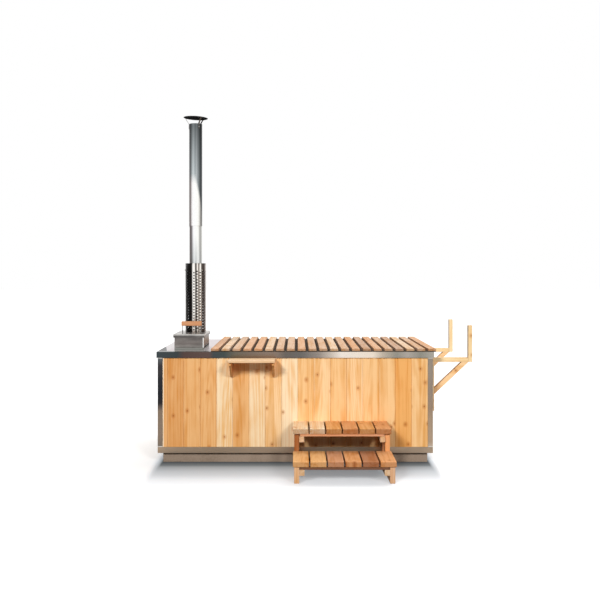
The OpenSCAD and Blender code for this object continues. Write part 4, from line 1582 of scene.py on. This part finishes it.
@dataclass
class Shelf:
    """Side shelf on its two brackets.

    Attributes:
        ease: Rounding along the edges.
    """

    ease: float = 0.0018

    def build(self) -> None:
        """Builds the board and its brackets."""
        board = Timber(Wood.PALE, Axis.X, Axis.Z, 0.8, 0.1)
        refine("side_shelf", "shelf_board", board, "shelf_wood", ease=self.ease)
        bracket = Timber(Wood.AMBER, Axis.Z, Axis.X, 0.8, 0.0)
        refine("side_shelf_brackets", "shelf_brackets", bracket, "shelf_wood", ease=self.ease)


@dataclass
class Steps:
    """Free-standing pair of steps.

    Attributes:
        upper: Tones of the upper planks, from left to right.
        lower: Tones of the lower planks.
        legs: Tones of the legs, the left-hand ones first, from front to rear.
        ease: Rounding along the edges.
        between: Height between the two treads.
        cross: Length that only the cross rails exceed.
        screw_radius: Radius of the sunk screw heads in the planks.
        screw_height: Height of these heads.
        screw_side: Distance of the screws from a plank's middle.
        screw_end: Distance of the screws from its ends.
        screw_sink: How deep the heads' undersides lie in the plank.
    """

    upper: tuple[Wood, ...] = (
        Wood.PEACH, Wood.PEACH, Wood.AMBER, Wood.RUSSET, Wood.AMBER, Wood.RUSSET,
    )
    lower: tuple[Wood, ...] = (
        Wood.AMBER, Wood.AMBER, Wood.TAN, Wood.RUSSET, Wood.BROWN, Wood.RUSSET,
    )
    # The second leg's dark tone is a painted shade under the upper tread
    legs: tuple[Wood, ...] = (
        Wood.OAT, Wood.UMBER, Wood.BROWN, Wood.SLAT_WARM, Wood.RUSSET, Wood.BROWN,
    )
    ease: float = 0.0025
    between: float = 0.2
    cross: float = 0.3
    screw_radius: float = 0.0042
    screw_height: float = 0.0012
    screw_side: float = 0.028
    screw_end: float = 0.030
    screw_sink: float = 0.0009

    def build(self) -> None:
        """Builds the planks, the legs, the bearers and the screws."""
        planks = solids_of("step_planks")
        upper = [plank for plank in planks if plank.high(Axis.Z) > self.between]
        lower = [plank for plank in planks if plank.high(Axis.Z) < self.between]
        # Darker plank ends and narrow sides are painted shade, the ends partly oiled end grain too
        parts = [
            (plank, Timber(wood, Axis.Y, Axis.Z, 1.2, 0.4, ends, edges=0.9))
            for row, woods, ends in ((upper, self.upper, 0.75), (lower, self.lower, 0.5))
            for plank, wood in zip(row, woods)
        ]
        assemble("treads", parts, self.ease, "step_wood", "step_planks", body="steps")
        legs = [
            (leg, Timber(wood, Axis.Z, Axis.X, knots=0.1))
            for leg, wood in zip(solids_of("step_legs"), self.legs)
        ]
        assemble("step_feet", legs, self.ease, "step_frame_wood", "step_legs", body="steps")
        rails = []
        for solid in solids_of("step_bearers"):
            if solid.span(Axis.X) > self.cross:
                # The lower cross rail gets a dark tone, a painted shade under the lower tread
                tone = Wood.DUSK if solid.high(Axis.Z) < self.between else Wood.TAN
                rails.append((solid, Timber(tone, Axis.X, Axis.Y, knots=0.1)))
            else:
                rails.append((solid, Timber(Wood.PALE, Axis.Y, Axis.X, knots=0.1)))
        assemble("step_rails", rails, self.ease, "step_frame_wood", "step_bearers", body="steps")
        self.sink_screws(planks)

    def sink_screws(self, planks: Sequence[Solid]) -> None:
        """Sets a screw into each plank above each cross rail.

        Args:
            planks: The planks.
        """
        steel = SheetSteel("screw_steel", (150, 146, 140), Axis.X, 0.35, 0.1)
        heads = []
        for plank in planks:
            level = plank.high(Axis.Z) - self.screw_sink
            for y in (plank.low(Axis.Y) + self.screw_end, plank.high(Axis.Y) - self.screw_end):
                for side in (-self.screw_side, self.screw_side):
                    place = (plank.middle(Axis.X) + side, y, level)
                    head = screw_head(place, (0, 0, 1), self.screw_radius, self.screw_height)
                    heads.append((head, steel))
        assemble("tread_screws", heads, 0.0, "screw_metal", body="steps")


@dataclass
class Inside:
    """Benches and the fence in front of the stove.

    Attributes:
        ease: Rounding along the edges.
        rail: Length that only the fence's rails exceed.
    """

    ease: float = 0.003
    rail: float = 0.5

    def build(self) -> None:
        """Builds the fence, the benches and their frames."""
        fence = []
        for solid in solids_of("stove_fence"):
            grain = Axis.Y if solid.span(Axis.Y) > self.rail else Axis.Z
            fence.append((solid, Timber(Wood.ASPEN, grain, Axis.X, 0.8, 0.2)))
        assemble("stove_screen", fence, self.ease, "inner_wood", "stove_fence")
        seat = Timber(Wood.ASPEN, Axis.Y, Axis.Z, 0.8, 0.2)
        refine("bench_boards", "bench_seats", seat, "inner_wood", ease=self.ease)
        frame_wood = Timber(Wood.ASPEN, Axis.Z, Axis.X, 0.8, 0.1)
        refine("bench_trestles", "bench_frames", frame_wood, "inner_wood", ease=self.ease)


@dataclass
class Drain:
    """Drain pipe and its ball valve at the rear.

    Attributes:
        sleeve_start: Distance from the stem to the start of the lever's sleeve.
        sleeve_wall: Thickness of the sleeve.
        lever: Thickness of the lever's bar.
    """

    sleeve_start: float = 0.038
    sleeve_wall: float = 0.0015
    lever: float = 0.003

    def build(self) -> None:
        """Builds the fitting, the ball, the lever and its sleeve."""
        brass = Coating("drain_brass", (206, 166, 92), (176, 132, 66), 60.0, 0.3, 0.0001, 1.0)
        finish_node("drain_fitting", brass)
        steel = SheetSteel("ball_steel", (200, 200, 198), Axis.Z, 0.2, 0.08)
        finish_node("valve_ball", steel)
        zinc = SheetSteel("lever_steel", (176, 176, 172), Axis.X, 0.35, 0.1)
        refine("lever_bar", "valve_lever", zinc, "lever_paint", "drain_lever", 0.0006)
        low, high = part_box("valve_lever")
        wall = self.sleeve_wall
        sleeve = bar(
            (low.x + self.sleeve_start, low.y - wall, low.z - wall),
            (high.x + wall, high.y + wall, low.z + self.lever + wall),
        )
        vinyl = Coating("lever_sleeve", (178, 44, 36), (150, 34, 30), 200.0, 0.5, 0.0001)
        parts = [(sleeve, vinyl)]
        assemble("lever_sleeve", parts, 0.002, "lever_paint", body="drain_lever", rings=4)


@dataclass
class Fasteners:
    """Screws of the brackets and of the cap's straps.

    Attributes:
        cap_level: Height above which a screw belongs to the cap.
        cap_head: Radius and height of the cap's screw heads.
        bracket_head: Radius and height of the other heads.
    """

    cap_level: float = 2.0
    cap_head: tuple[float, float] = (0.004, 0.0016)
    bracket_head: tuple[float, float] = (0.007, 0.004)

    def build(self) -> None:
        """Builds a socket head in the place of each plain one."""
        steel = SheetSteel("bolt_steel", (168, 166, 162), Axis.Z, 0.32, 0.1)
        chimney = Vector((*middle_of("chimney_upper"), 0))
        heads = []
        for solid in solids_of("screws"):
            centre = Vector([solid.middle(axis) for axis in Axis])
            outward, size = Vector((1, 0, 0)), self.bracket_head
            if centre.z > self.cap_level:
                outward, size = centre - chimney, self.cap_head
                outward.z = 0
                outward.normalize()
            place = centre - outward * size[1] / 2
            heads.append((screw_head(tuple(place), tuple(outward), *size), steel))
        assemble("socket_screws", heads, 0.0, "screw_metal", "screws")


def main() -> None:
    """Builds the studio and every sub-assembly in order."""
    logging.basicConfig(level=logging.INFO, format="%(name)s: %(message)s")
    for assembly in (
        Studio(), TubShell(), Cladding(), Stove(), Chimney(), RollCover(), Holder(), Shelf(),
        Steps(), Inside(), Drain(), Fasteners(),
    ):
        log.info("building %s", type(assembly).__name__)
        assembly.build()


if __name__ == "__main__":
    main()
